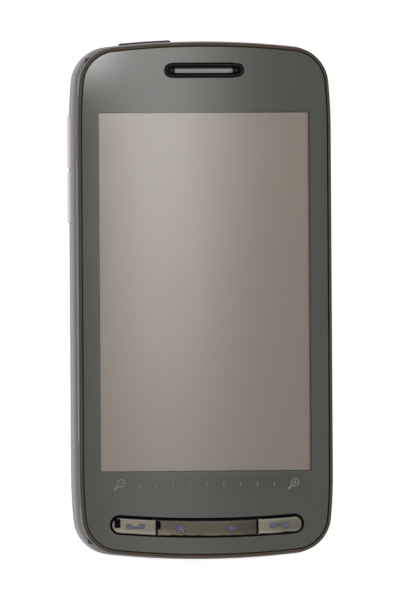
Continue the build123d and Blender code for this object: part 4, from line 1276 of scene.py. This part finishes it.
@dataclass
class KeyStrip:
    """Four functions on three plated keys: send, home with back, and end, with painted shade round them and
    painted highlights and reflections on them.
    """

    icon_rise: float = 0.01
    icon_line: float = 0.13
    handset_places: tuple[tuple[str, Point, Ears], ...] = (
        ("send", (-16.25, -50.72), Ears.UP),
        ("end", (16.3, -50.82), Ears.DOWN),
    )
    handset_size: Point = (3.92, 0.82)
    handset_grip: float = 0.3
    handset_ear: float = 0.95
    handset_corner: float = 0.15
    home_centre: Point = (-5.97, -51.28)
    home_size: Point = (1.98, 2.14)
    roof_overhang: float = 0.2
    roof_step: float = 0.315
    ridge_drop: float = 0.588
    roof_gap: float = 0.06
    eaves_rise: float = 0.03
    gable_drop: float = 0.28
    wall_inset: float = 0.55
    door_size: Point = (0.52, 0.75)
    back_centre: Point = (5.8, -51.25)
    arrow_size: Point = (2.38, 1.55)
    arrow_head: float = 1.2
    arrow_shaft: float = 0.42
    strip_middle: Point = (0.0, -51.25)
    bow_radius: float = 240.0
    strip_half_length: float = 21.7
    strip_height: float = 3.85
    # The black ring round the strip is painted shade of the gap between keys and glass, lifted so that it is
    # wider at the top.
    gap_shade_width: float = 0.32
    gap_shade_overlap: float = 0.1
    gap_shade_lift: float = 0.1
    gap_shade_rise: float = 0.02
    # Painted dark reflections at the left ends of two keys: key, x and rise over the strip's middle line, and
    # size.
    painted_reflections: tuple[tuple[str, Point, Point], ...] = (
        ("send", (-20.3, 0.4), (1.4, 2.05)),
        ("home_back", (-10.85, 0.55), (0.7, 1.95)),
    )
    reflection_corner: float = 0.25
    # Colours of the painted highlights along the keys' long sides.
    call_painted_highlight: Colour = (0.34, 0.32, 0.25)
    rocker_painted_highlight: Colour = (0.13, 0.115, 0.085)
    gap_shade_finish: Coat = Coat(
        "black_gap_shade", (0.002, 0.002, 0.004), roughness=0.8, grain_depth=0.002, specular=0.02
    )
    # Near-black colour of the painted reflections.
    reflection_finish: Coat = Coat("dark_reflection", (0.003, 0.003, 0.006), roughness=0.3, specular=0.03)
    icon_finish: Coat = Coat("slate_print", (0.088, 0.088, 0.15), roughness=0.4, grain_depth=0.002)
    house_finish: Coat = Coat("lilac_print", (0.135, 0.135, 0.19), roughness=0.4, grain_depth=0.002)
    line_finish: Coat = Coat("print_line", (0.010, 0.010, 0.022), roughness=0.4, grain_depth=0.002)
    call_finish: Coat = Coat(
        "plated_call_key",
        (0.20, 0.18, 0.135),
        roughness=0.2,
        metallic=0.7,
        grain=0.3,
        grain_depth=0.002,
        mottle=0.16,
        mottle_size=6.0,
        scratch=0.2,
    )
    rocker_finish: Coat = Coat(
        "plated_rocker",
        (0.085, 0.072, 0.05),
        roughness=0.18,
        metallic=0.7,
        grain=0.3,
        grain_depth=0.002,
        mottle=0.3,
        mottle_size=5.0,
        scratch=0.2,
    )

    def build(self) -> None:
        """Makes the signs on the keys, the painted gap shade round them and the painted dark reflections on
        them.
        """
        for body, centre, ears in self.handset_places:
            self._handset(body, centre, ears)
        self._home()
        self._arrow()
        self._gap_shade()
        self._painted_reflections()

    def _sign(self, name: str, body: str, outline: Sequence[Point], finish: Finish) -> None:
        """A printed sign with a thin dark line round it.

        Args:
            name: The piece's name.
            body: The key's body.
            outline: The sign's corners.
            finish: What the sign is dressed in.
        """
        foot, top = layer(f"{body}_key", self.icon_rise)
        line = Shape()
        line.prism(grown(outline, self.icon_line), foot, top - self.icon_rise / 2)
        line.piece(f"{name}_line", body, self.line_finish)
        sign = Shape()
        sign.prism(outline, foot, top)
        sign.piece(name, body, finish)

    def _handset(self, body: str, centre: Point, ears: Ears) -> None:
        """A handset seen from the side.

        Args:
            body: The key's body.
            centre: The sign's middle.
            ears: Which way its ears point.
        """
        half, high = (side / 2 for side in self.handset_size)
        low, cut = -high, self.handset_corner
        grip, ear = low + self.handset_grip, half - self.handset_ear
        outline = [
            (-half + cut, low),
            (half - cut, low),
            (half, low + cut),
            (half, high),
            (ear, high),
            (ear - cut, grip),
            (-ear + cut, grip),
            (-ear, high),
            (-half, high),
            (-half, low + cut),
        ]
        sign = [(centre[0] + x, centre[1] + ears.value * y) for x, y in outline]
        self._sign(f"{body}_sign", body, sign[:: ears.value], self.icon_finish)

    def _home(self) -> None:
        """A small house with a doorway, under a roof."""
        half, top = self.home_size[0] / 2 + self.roof_overhang, self.home_size[1] / 2
        eaves, step, ridge = self.eaves_rise, self.roof_step, top - self.ridge_drop
        roof = [
            (0.0, top),
            (-half, eaves),
            (-half + step, eaves - step),
            (0.0, ridge),
            (half - step, eaves - step),
            (half, eaves),
        ]
        wall, gable, low = half - self.wall_inset, eaves - self.gable_drop, -top
        door, lintel = self.door_size[0] / 2, low + self.door_size[1]
        house = [
            (0.0, ridge - self.roof_gap),
            (-wall, gable),
            (-wall, low),
            (-door, low),
            (-door, lintel),
            (door, lintel),
            (door, low),
            (wall, low),
            (wall, gable),
        ]
        self._sign("home_roof", "home_back", placed(roof, self.home_centre), self.icon_finish)
        self._sign("home_house", "home_back", placed(house, self.home_centre), self.house_finish)

    def _arrow(self) -> None:
        """An arrow that points back."""
        half, rise = (side / 2 for side in self.arrow_size)
        neck, shaft = self.arrow_head - half, self.arrow_shaft / 2
        outline = [
            (-half, 0.0),
            (neck, -rise),
            (neck, -shaft),
            (half, -shaft),
            (half, shaft),
            (neck, shaft),
            (neck, rise),
        ]
        self._sign("back_sign", "home_back", placed(outline, self.back_centre), self.icon_finish)

    def _strip_outline(self, reach: float, lift: float = 0.0) -> list[Point]:
        """The strip's outline, grown and lifted.

        Args:
            reach: How far its sides move outwards.
            lift: How far it moves up the display.

        Returns:
            The corners.
        """
        x, y = self.strip_middle
        half_length, height = self.strip_half_length + reach, self.strip_height + 2 * reach
        return bowed_slot((x, y + lift), self.bow_radius, half_length, height)

    def _gap_shade(self) -> None:
        """A flat black ring on the glass round the keys: painted shade of the deep gap between the keys and
        the glass.
        """
        # Painted shade of the gap round the keys.
        outer = self._strip_outline(self.gap_shade_width, self.gap_shade_lift)
        inner = self._strip_outline(-self.gap_shade_overlap)
        gap_shade = Shape()
        gap_shade.frame(outer, inner, *layer("front_glass", self.gap_shade_rise))
        gap_shade.piece("strip_gap_shade", "display", self.gap_shade_finish)

    def _painted_reflections(self) -> None:
        """Dark patches in the left ends of two keys: painted reflections."""
        for body, (x, rise), size in self.painted_reflections:
            y = self.strip_middle[1] + x * x / (2 * self.bow_radius) + rise
            outline = oblong((x, y), *size, corner=self.reflection_corner)
            window = Shape()
            window.prism(outline, *layer(f"{body}_key", self.icon_rise))
            window.piece(f"{body}_painted_reflection", body, self.reflection_finish)

    def dress(self) -> None:
        """Dresses the keys and the board under them."""
        bow = (self.strip_middle[1], self.bow_radius)
        # far_dim, dim and warm set the painted reflections on the keys.
        call = PlatedKey("call_key_face", self.call_finish, self.call_painted_highlight, *bow, far_dim=0.42)
        dress(call, "send_key", "end_key")
        rocker = PlatedKey("rocker_face", self.rocker_finish, self.rocker_painted_highlight, *bow, dim=0.4, warm=0.5)
        dress(rocker, "home_back_key")
        dress(Laminate("black_board", (0.004, 0.005, 0.005), (0.008, 0.009, 0.009)), "key_switch_board")


# ---- hinge and slide ------------------------------------------------------------------------------------


@dataclass
class SlideHinge:
    """The steel slide and the hinge that joins the halves."""

    pressed: Coat = Coat(
        "pressed_steel",
        (0.5, 0.49, 0.47),
        roughness=0.32,
        metallic=1.0,
        grain=0.15,
        mottle=0.05,
        brushed=(0.1, 9.0, 9.0),
        scratch=0.3,
    )

    def dress(self) -> None:
        """Dresses the mechanism."""
        dress(self.pressed, "slide_carriage", "hinge_leaf_top", "hinge_leaf_bottom", "guide_rails")
        dress(Coat("pin_steel", (0.6, 0.6, 0.6), roughness=0.22, metallic=1.0), "hinge_pins")
        dress(Coat("acetal", (0.55, 0.55, 0.52), grain_depth=0.004), "slide_shoes")


# ---- the base half --------------------------------------------------------------------------------------


class Sign(Enum):
    """Outlines of the signs on the caps, to the reader's right and up, anticlockwise."""

    ARROW = ((-1.2, -0.28), (0.1, -0.28), (0.1, -1.0), (1.25, 0.0), (0.1, 1.0), (0.1, 0.28), (-1.2, 0.28))
    POINTER = ((-0.75, -0.95), (0.95, 0.0), (-0.75, 0.95))
    CHEVRON = ((-0.5, -0.9), (-0.1, -0.9), (0.5, 0.0), (-0.1, 0.9), (-0.5, 0.9), (0.1, 0.0))
    ENTER = (
        (-1.5, -0.3),
        (-0.6, -1.1),
        (-0.6, -0.52),
        (1.3, -0.52),
        (1.3, 1.0),
        (0.86, 1.0),
        (0.86, -0.08),
        (-0.6, -0.08),
        (-0.6, 0.5),
    )


@dataclass(frozen=True)
class CapSign:
    """A sign on a cap: column, outline, how far it is turned in degrees and moved to the right."""

    column: int
    sign: Sign
    degrees: float = 0.0
    shift: float = 0.0

    def outline(self) -> list[Point]:
        """The sign's corners about the cap's middle."""
        return placed(self.sign.value, (self.shift, 0.0), self.degrees)


@dataclass
class Keyboard:
    """Signs, touch marks and lights of the keyboard, read from the side that the display leaves free.

    Row 1 is next to the display, and column 0 is at the reader's left.
    """

    middle_x: float = -9.9
    middle_row: int = 3
    row_pitch: float = 6.57
    column_pitch: float = 7.825
    columns: int = 12
    ink: float = 0.012
    signs: tuple[tuple[CapSign, ...], ...] = (
        (CapSign(11, Sign.ARROW, 180.0),),
        (CapSign(0, Sign.CHEVRON, shift=0.54), CapSign(0, Sign.CHEVRON, shift=-0.54)),
        (CapSign(11, Sign.ENTER),),
        (CapSign(0, Sign.ARROW, 90.0), CapSign(10, Sign.POINTER, 90.0), CapSign(11, Sign.ARROW, 90.0)),
        (CapSign(9, Sign.POINTER, 180.0), CapSign(10, Sign.POINTER, -90.0), CapSign(11, Sign.POINTER)),
    )
    ring_row: int = 5
    ring_columns: tuple[int, int] = (0, 1)
    ring_radii: Point = (1.15, 0.85)
    dot_radius: float = 0.4
    dash_rows: tuple[tuple[int, int], ...] = ((1, 10), (2, 10), (3, 10), (4, 9))
    dash_size: Point = (1.0, 0.26)
    dash_place: Point = (2.2, 1.75)
    bar_columns: tuple[int, int] = (3, 8)
    bar_size: Point = (1.7, 0.34)
    bar_corner: float = 0.16
    bar_bevel: float = 0.05
    bar_drop: float = 1.75
    bar_rise: float = 0.12
    space_middle: Point = (-23.04, 3.91)
    space_mark: Point = (6.0, 0.9)
    space_line: float = 0.26
    light_places: tuple[tuple[str, Point], ...] = (
        ("shift_light", (-22.6, 53.4)),
        ("lock_light", (-20.6, 53.6)),
    )
    light_radius: float = 0.5
    light_levels: Point = (-0.1, 0.1)
    sign_finish: Coat = Coat("pale_sign", (0.5, 0.5, 0.49), roughness=0.4, grain_depth=0.001)
    dash_finish: Coat = Coat("blue_dash", (0.05, 0.16, 0.36), roughness=0.4, grain_depth=0.001)
    light_finish: Coat = Coat("light_pipe", (0.35, 0.52, 0.38), roughness=0.15)
    caps: Coat = Coat(
        "key_caps",
        (0.016, 0.016, 0.018),
        roughness=0.3,
        grain_depth=0.004,
        worn=(0.05, 0.05, 0.05),
        wear=0.35,
        clear_coat=0.2,
    )

    def build(self) -> None:
        """Makes the signs, the dashes of second functions, the touch bars and the lights."""
        for row, signs in enumerate(self.signs, 1):
            self._row_signs(row, signs)
        for row, last in self.dash_rows:
            self._dashes(row, last)
        self._touch_bars()
        self._space_mark()
        self._lights()

    @staticmethod
    def in_plan(middle: Point, outline: Iterable[Point]) -> list[Point]:
        """Puts an outline that is given to the reader's right and up in plan, about a place."""
        return [(middle[0] + up, middle[1] - right) for right, up in outline]

    def on_cap(self, row: int, column: int, outline: Iterable[Point]) -> list[Point]:
        """Puts an outline on a cap.

        Args:
            row: The cap's row.
            column: The cap's column.
            outline: The outline, to the reader's right and up.

        Returns:
            Its corners in plan.
        """
        x = self.middle_x + (self.middle_row - row) * self.row_pitch
        y = ((self.columns - 1) / 2 - column) * self.column_pitch
        return self.in_plan((x, y), outline)

    def _row_signs(self, row: int, signs: Sequence[CapSign]) -> None:
        """The signs of one row of caps.

        Args:
            row: The row.
            signs: What its caps carry.
        """
        levels = layer(f"key_row_{row}", self.ink)
        shape = Shape()
        for mark in signs:
            shape.prism(self.on_cap(row, mark.column, mark.outline()), *levels)
        if row == self.ring_row:
            for column in self.ring_columns:
                rings = (circle((0.0, 0.0), radius, sides=20) for radius in self.ring_radii)
                shape.frame(*(self.on_cap(row, column, ring) for ring in rings), *levels)
            dot = circle((0.0, 0.0), self.dot_radius, sides=12)
            shape.prism(self.on_cap(row, self.ring_columns[-1], dot), *levels)
        shape.piece(f"row_{row}_signs", f"row_{row}", self.sign_finish)

    def _dashes(self, row: int, last: int) -> None:
        """A short blue dash for the second function, in the corner of each plain cap of a row.

        Args:
            row: The row.
            last: The last column with a dash. The first is 1.
        """
        levels = layer(f"key_row_{row}", self.ink)
        dash = oblong(self.dash_place, *self.dash_size)
        shape = Shape()
        for column in range(1, last + 1):
            shape.prism(self.on_cap(row, column, dash), *levels)
        shape.piece(f"row_{row}_dashes", f"row_{row}", self.dash_finish)

    def _touch_bars(self) -> None:
        """A raised bar on the two caps that the forefingers rest on."""
        foot, top = layer(f"key_row_{self.middle_row}", self.ink)
        bar = oblong((0.0, -self.bar_drop), *self.bar_size, corner=self.bar_corner)
        bars = Shape()
        for column in self.bar_columns:
            outline = self.on_cap(self.middle_row, column, bar)
            bars.prism(outline, foot, top + self.bar_rise, self.bar_bevel)
        bars.piece("touch_bars", f"row_{self.middle_row}", self.caps)

    def _space_mark(self) -> None:
        """A flat bracket on the space bar."""
        half, rise = (side / 2 for side in self.space_mark)
        inside, floor = half - self.space_line, self.space_line - rise
        outline = [
            (-half, -rise),
            (half, -rise),
            (half, rise),
            (inside, rise),
            (inside, floor),
            (-inside, floor),
            (-inside, rise),
            (-half, rise),
        ]
        mark = Shape()
        mark.prism(self.in_plan(self.space_middle, outline), *layer("space_bar", self.ink))
        mark.piece("space_sign", "space", self.sign_finish)

    def _lights(self) -> None:
        """Two light pipes in the deck, one for each lock."""
        foot, top = (span("keyboard_deck")[1].z + level for level in self.light_levels)
        for name, place in self.light_places:
            light = Shape()
            light.dome(place, self.light_radius, foot, top, rings=3, sides=16)
            light.piece(name, "base", self.light_finish, smooth=True)

    def dress(self) -> None:
        """Dresses the caps."""
        dress(self.caps, *(f"key_row_{row}" for row in range(1, len(self.signs) + 1)), "space_bar")


@dataclass
class BaseHalf:
    """The lower half: housing, deck, side keys, camera, speaker and ports."""

    cover_half_width: float = 27.2
    cover_half_length: float = 56.4
    shoulder_start: float = 38.75
    camera_middle: Point = (10.0, 50.75)
    iris_rings: tuple[Point, ...] = ((1.75, 1.62), (1.2, 0.95))
    iris_sides: int = 40
    pupil_radius: float = 0.62
    pupil_sides: int = 32
    lens_levels: Point = (-0.012, 0.01)
    speaker_y: float = 37.45
    slot_size: Point = (6.9, 0.8)
    slot_reach: float = 12.5
    slot_pitch: float = 1.8
    cloth_levels: Point = (0.7, 0.9)
    grip_y: float = 22.25
    grip_bars: tuple[float, ...] = (-0.62, 0.0, 0.62)
    grip_size: Point = (11.2, 0.26)
    grip_corner: float = 0.12
    grip_levels: Point = (0.12, 0.4)
    tongue_front: float = -56.78
    tongue_size: Point = (7.44, 6.0)
    tongue_levels: Point = (3.73, 4.47)
    contact_size: Point = (0.5, 3.4)
    contact_pitch: float = 1.15
    contact_inset: float = 0.3
    contact_thickness: float = 0.02
    stylus_axis: Point = (25.0, 3.9)
    collar_places: tuple[Point, ...] = ((-50.6, 1.2), (-48.9, 0.3), (-48.3, 0.3), (-47.7, 0.3))
    collar_radius: float = 1.79
    collar_sides: int = 32
    shell: Coat = SATIN_GREY
    side_keys: Coat = Coat(
        "pale_satin", (0.80, 0.76, 0.70), roughness=0.36, metallic=0.15, grain_depth=0.004, mottle=0.05
    )
    deck: Coat = Coat(
        "dark_deck",
        (0.045, 0.044, 0.045),
        grain=0.16,
        grain_depth=0.012,
        flake=0.1,
        worn=(0.15, 0.15, 0.15),
        wear=0.3,
        scratch=0.25,
    )
    ring_finish: Coat = Coat("iris_metal", (0.22, 0.2, 0.26), roughness=0.25, metallic=0.9)
    pupil_finish: Coat = Coat("pupil_black", (0.002, 0.002, 0.003), roughness=0.08, specular=0.4)
    cloth_finish: Coat = Coat(
        "speaker_cloth", (0.02, 0.02, 0.021), roughness=0.7, grain=0.4, grain_depth=0.02
    )
    gilt: Coat = Coat("gilt", (0.66, 0.48, 0.2), roughness=0.28, metallic=1.0)
    steel: Coat = Coat("collar_steel", (0.5, 0.5, 0.49), roughness=0.25, metallic=1.0, grain=0.1)

    def build(self) -> None:
        """Makes the small pieces of the back and of the two ends."""
        self._iris()
        self._cloth()
        self._grip()
        self._contacts()
        self._collar()

    def _iris(self) -> None:
        """Rings and a pupil on the camera's lens."""
        foot, top = (span("camera_lens")[0].z + level for level in self.lens_levels)
        rings = Shape()
        for radii in self.iris_rings:
            rings.frame(*(circle(self.camera_middle, radius, self.iris_sides) for radius in radii), foot, top)
        rings.piece("lens_rings", "base", self.ring_finish)
        pupil = Shape()
        pupil.prism(circle(self.camera_middle, self.pupil_radius, self.pupil_sides), foot, top)
        pupil.piece("lens_pupil", "base", self.pupil_finish)

    def _cloth(self) -> None:
        """Dark cloth a little way down in each slot of the speaker's plate."""
        cloth = Shape()
        for x in (-self.slot_reach, self.slot_reach):
            for row in range(-2, 3):
                middle = (x, self.speaker_y + row * self.slot_pitch)
                cloth.prism(stadium(middle, *self.slot_size, steps=6), *self.cloth_levels)
        cloth.piece("speaker_cloth", "base", self.cloth_finish)

    def _grip(self) -> None:
        """Low bars in the grip of the battery cover."""
        grip = Shape()
        for rise in self.grip_bars:
            bar = oblong((0.0, self.grip_y + rise), *self.grip_size, corner=self.grip_corner)
            grip.prism(bar, *self.grip_levels)
        grip.piece("cover_grip_bars", "base", self.shell)

    def _contacts(self) -> None:
        """A dark skin on the data port's tongue, with five gilt strips."""
        tongue = Shape()
        middle = (0.0, self.tongue_front + self.tongue_size[1] / 2)
        tongue.prism(oblong(middle, *self.tongue_size), *self.tongue_levels)
        tongue.piece("port_tongue", "base", self.cloth_finish)
        contacts = Shape()
        y = self.tongue_front + self.contact_inset + self.contact_size[1] / 2
        level, thick = self.tongue_levels[1], self.contact_thickness
        for index in range(-2, 3):
            strip = oblong((index * self.contact_pitch, y), *self.contact_size)
            contacts.prism(strip, level - thick, level + thick)
        contacts.piece("port_contacts", "base", self.gilt)

    def _collar(self) -> None:
        """A steel collar and three grip rings round the stylus."""
        x, z = self.stylus_axis
        section = circle((0.0, 0.0), self.collar_radius, self.collar_sides)
        collar = Shape()
        for y, length in self.collar_places:
            collar.prism(section, -y - length / 2, -y + length / 2)
        collar.turn(Matrix.Translation((x, 0.0, z)) @ Matrix.Rotation(radians(90.0), 4, "X"))
        collar.piece("stylus_collar", "stylus", self.steel)

    def dress(self) -> None:
        """Dresses the CAD pieces of this half."""
        cover = (self.cover_half_width, self.cover_half_length, self.shoulder_start)
        dress(self.shell, "base_housing", "battery_cover", "stylus_cap")
        dress(RimmedCoat("rimmed_deck", self.deck, SATIN_GREY.base, *cover), "keyboard_deck")
        dress(self.side_keys, "volume_up_key", "volume_down_key")
        dress(LensGlass("cover_lens"), "camera_lens")
        dress(self.gilt, "battery_contacts")
        dress(Coat("foil_cell", (0.11, 0.11, 0.12), roughness=0.4, metallic=0.3), "battery")
        dress(Coat("brass", (0.55, 0.42, 0.18), roughness=0.3, metallic=1.0), "screw_inserts")
        dress(Coat("silicone", (0.24, 0.24, 0.24), roughness=0.65, grain_depth=0.01), "keypad_mat")
        dress(Laminate("board"), "main_board", "keypad_board", "side_key_board")
        dress(
            Coat("violet_key", (0.022, 0.015, 0.03), roughness=0.28, metallic=0.3, grain_depth=0.003),
            "power_key",
            "mute_button",
        )
        dress(
            Coat("turned_ring", (0.32, 0.31, 0.30), roughness=0.28, metallic=1.0, grain=0.1, mottle=0.04),
            "camera_ring",
        )
        dress(Coat("speaker_lacquer", (0.045, 0.043, 0.042), roughness=0.4, flake=0.2), "speaker_grille")
        dress(
            Coat("tinned_sheet", (0.6, 0.6, 0.59), roughness=0.3, metallic=1.0, mottle=0.06, scratch=0.3),
            "radio_shield",
            "processor_shield",
            "sim_holder",
            "card_slot",
            "usb_connector",
            "microphone",
            "vibration_motor",
        )
        dress(
            Coat("inner_black", (0.025, 0.025, 0.027)),
            "camera_module",
            "loudspeaker",
            "mute_switch",
            "power_switch",
            "antenna_carrier",
            "stylus_barrel",
            "stylus_tip",
            "stylus_silo",
        )


# ---- the studio -----------------------------------------------------------------------------------------


@dataclass
class Studio:
    """Pale floor, even light, three softboxes, a card that only shows as a reflection, and the camera.

    The camera's distance, its field's height, the floor's size, the card's height and the softboxes' places
    and sides are in metres.
    """

    distance: float = 3.0
    field_height: float = 0.13483
    side_turn: float = 7.0
    roll: float = 0.0065
    aim: Triple = (-1.294, 0.053, 17.25)
    sensor: float = 36.0
    far_clip: float = 100.0
    ambient: float = 0.62
    background: float = 1.0
    softboxes: tuple[tuple[str, Triple, float, float], ...] = (
        ("key_light", (-0.75, 0.55, 1.35), 0.7, 0.20),
        ("fill_light", (0.8, -0.5, 1.1), 0.8, 0.10),
        ("side_light", (-1.4, 0.9, 0.3), 0.4, 0.02),
    )
    floor_size: float = 6.0
    floor_gap: float = 0.02
    floor_colour: Colour = (0.8, 0.8, 0.8)
    floor_glow: float = 0.6
    card_height: float = 3.0
    card_size: Point = (130.0, 190.0)
    band_across: Point = (-8.8, 10.0)
    band_cut: Point = (-27.5, -21.5)
    band_rise: Point = (-60.0, 50.0)
    band_end: float = 76.0
    band_soft: float = 20.0
    band_glow: Point = (0.7, 4.0)
    corner_across: Point = (-27.0, 4.8)
    corner_along: Point = (57.0, 4.2)
    corner_glow: float = 18.0

    def build(self) -> None:
        """Sets up the world, the floor, the lights and the camera."""
        self._world()
        self._floor()
        for softbox in self.softboxes:
            self._softbox(*softbox)
        self._card()
        self._camera()

    def _world(self) -> None:
        """Even light, and a white background where it is seen."""
        world = bpy.data.worlds.new("studio")
        world.use_nodes = True
        bpy.context.scene.world = world
        graph = Graph(world.node_tree)
        strength = self.ambient + self._seen(graph) * (self.background - self.ambient)
        shader = graph.node("ShaderNodeBackground", None, {"Color": (*WHITE, 1.0), "Strength": strength})
        graph.output(shader, "ShaderNodeOutputWorld")

    def _seen(self, graph: Graph) -> Sock:
        """1 for a ray from the camera, a mirror or through glass, and 0 for light on surfaces."""
        return graph.ray(Ray.CAMERA).most(graph.ray(Ray.GLOSSY)).most(graph.ray(Ray.THROUGH))

    def _sheet(
        self, name: str, finish: str, sides: Sides, level: float, down: bool = False
    ) -> tuple[bpy.types.Object, Graph]:
        """Adds a flat sheet.

        Args:
            name: Its name.
            finish: Its material's name.
            sides: Its left, right, near and far sides, in metres.
            level: Its height, in metres.
            down: Whether it faces down.

        Returns:
            The sheet, and the empty graph of its material.
        """
        left, right, near, far = sides
        corners = [(left, near, 0.0), (right, near, 0.0), (right, far, 0.0), (left, far, 0.0)]
        data = bpy.data.meshes.new(name)
        data.from_pydata(corners, [], [(3, 2, 1, 0) if down else (0, 1, 2, 3)])
        material = bpy.data.materials.new(finish)
        material.use_nodes = True
        data.materials.append(material)
        sheet = bpy.data.objects.new(name, data)
        sheet.location.z = level
        bpy.context.scene.collection.objects.link(sheet)
        return sheet, Graph(material.node_tree)

    def _floor(self) -> None:
        """A wide pale floor that keeps the phone's shadow, and lets its back be seen and lit from below."""
        half = self.floor_size / 2
        level = cad_box[0].z - self.floor_gap * MM
        floor, graph = self._sheet("floor", "pale_floor", (-half, half, -half, half), level)
        plain = graph.node("ShaderNodeBsdfDiffuse", None, {"Color": (*self.floor_colour, 1.0)})
        glow = graph.glow(WHITE, self._seen(graph) * self.floor_glow)
        top = graph.node("ShaderNodeAddShader", None, {0: plain, 1: glow})
        below = graph.node("ShaderNodeNewGeometry", out="Backfacing")
        graph.output(graph.cover(top, graph.clear(), below.most(graph.ray(Ray.DIFFUSE))))

    def _softbox(self, name: str, place: Triple, side: float, level: float) -> None:
        """A softbox that faces the phone, adds a level of light on surfaces and isn't reflected.

        Args:
            name: Its name.
            place: Where it is, in metres.
            side: Its sides, in metres.
            level: How much of its own colour a white surface that faces it gains.
        """
        away = Vector(place)
        data = bpy.data.lights.new(name, "AREA")
        data.shape = "RECTANGLE"
        data.size = data.size_y = side
        data.energy = level * pi**2 * away.length_squared
        lamp = bpy.data.objects.new(name, data)
        lamp.location = away
        lamp.rotation_euler = away.to_track_quat("Z", "Y").to_euler()
        lamp.visible_camera = False
        lamp.visible_glossy = False
        bpy.context.scene.collection.objects.link(lamp)

    def _card(self) -> None:
        """A card with soft bright patches, high up, that shows only as a reflection on the glass.

        The patches' places are those on the glass where the camera sees them mirrored.
        """
        camera_x = -self.distance * sin(radians(self.side_turn)) / MM
        spread = 1 + self.card_height / self.distance
        half_x, half_y = (side * MM * spread / 2 for side in self.card_size)
        middle = -camera_x * MM * self.card_height / self.distance
        sides = (middle - half_x, middle + half_x, -half_y, half_y)
        card, graph = self._sheet("reflector", "soft_patches", sides, self.card_height, down=True)
        x, y, _ = graph.split(graph.place())
        across = (x + camera_x * (spread - 1)) / spread
        along = y / spread
        low, high = self.band_glow
        band = across.hill(*self.band_across) * across.ramp(*self.band_cut)
        band = band * (low + along.ramp(*self.band_rise) * (high - low))
        band = band * along.within(-self.band_end, self.band_end, self.band_soft)
        corner = across.hill(*self.corner_across) * along.hill(*self.corner_along) * self.corner_glow
        graph.output(graph.glow(graph.tint(WHITE, self.background + band + corner)))
        card.visible_camera = False
        card.visible_diffuse = False
        card.visible_shadow = False
        card.visible_transmission = False

    def _axes(self) -> tuple[Vector, Vector, Vector]:
        """The camera's directions.

        Returns:
            Its right, up and back.
        """
        turn = radians(self.side_turn)
        back = Vector((-sin(turn), 0.0, cos(turn)))
        right = Vector((cos(turn), 0.0, sin(turn)))
        up = Vector((0.0, 1.0, 0.0))
        c, s = cos(self.roll), sin(self.roll)
        return right * c - up * s, right * s + up * c, back

    def _camera(self) -> None:
        """A long lens over the display, a little from its left."""
        right, up, back = self._axes()
        across, along, height = (value * MM for value in self.aim)
        place = Vector((0.0, 0.0, height)) + right * across + up * along + back * self.distance
        data = bpy.data.cameras.new("camera")
        data.sensor_width = self.sensor
        data.lens = self.sensor * self.distance / self.field_height
        data.clip_end = self.far_clip
        camera = bpy.data.objects.new("camera", data)
        rows = [(right[row], up[row], back[row], place[row]) for row in range(3)]
        camera.matrix_world = Matrix([*rows, (0.0, 0.0, 0.0, 1.0)])
        bpy.context.scene.collection.objects.link(camera)
        bpy.context.scene.camera = camera


def main() -> None:
    """Builds and dresses the phone and sets up the studio."""
    logging.basicConfig(level=logging.INFO, format="%(name)s: %(message)s")
    bpy.context.scene.view_settings.view_transform = "Standard"
    display = DisplayHalf()
    display.build()
    display.dress()
    strip = KeyStrip()
    strip.build()
    strip.dress()
    SlideHinge().dress()
    keyboard = Keyboard()
    keyboard.build()
    keyboard.dress()
    base = BaseHalf()
    base.build()
    base.dress()
    Studio().build()


if __name__ == "__main__":
    main()
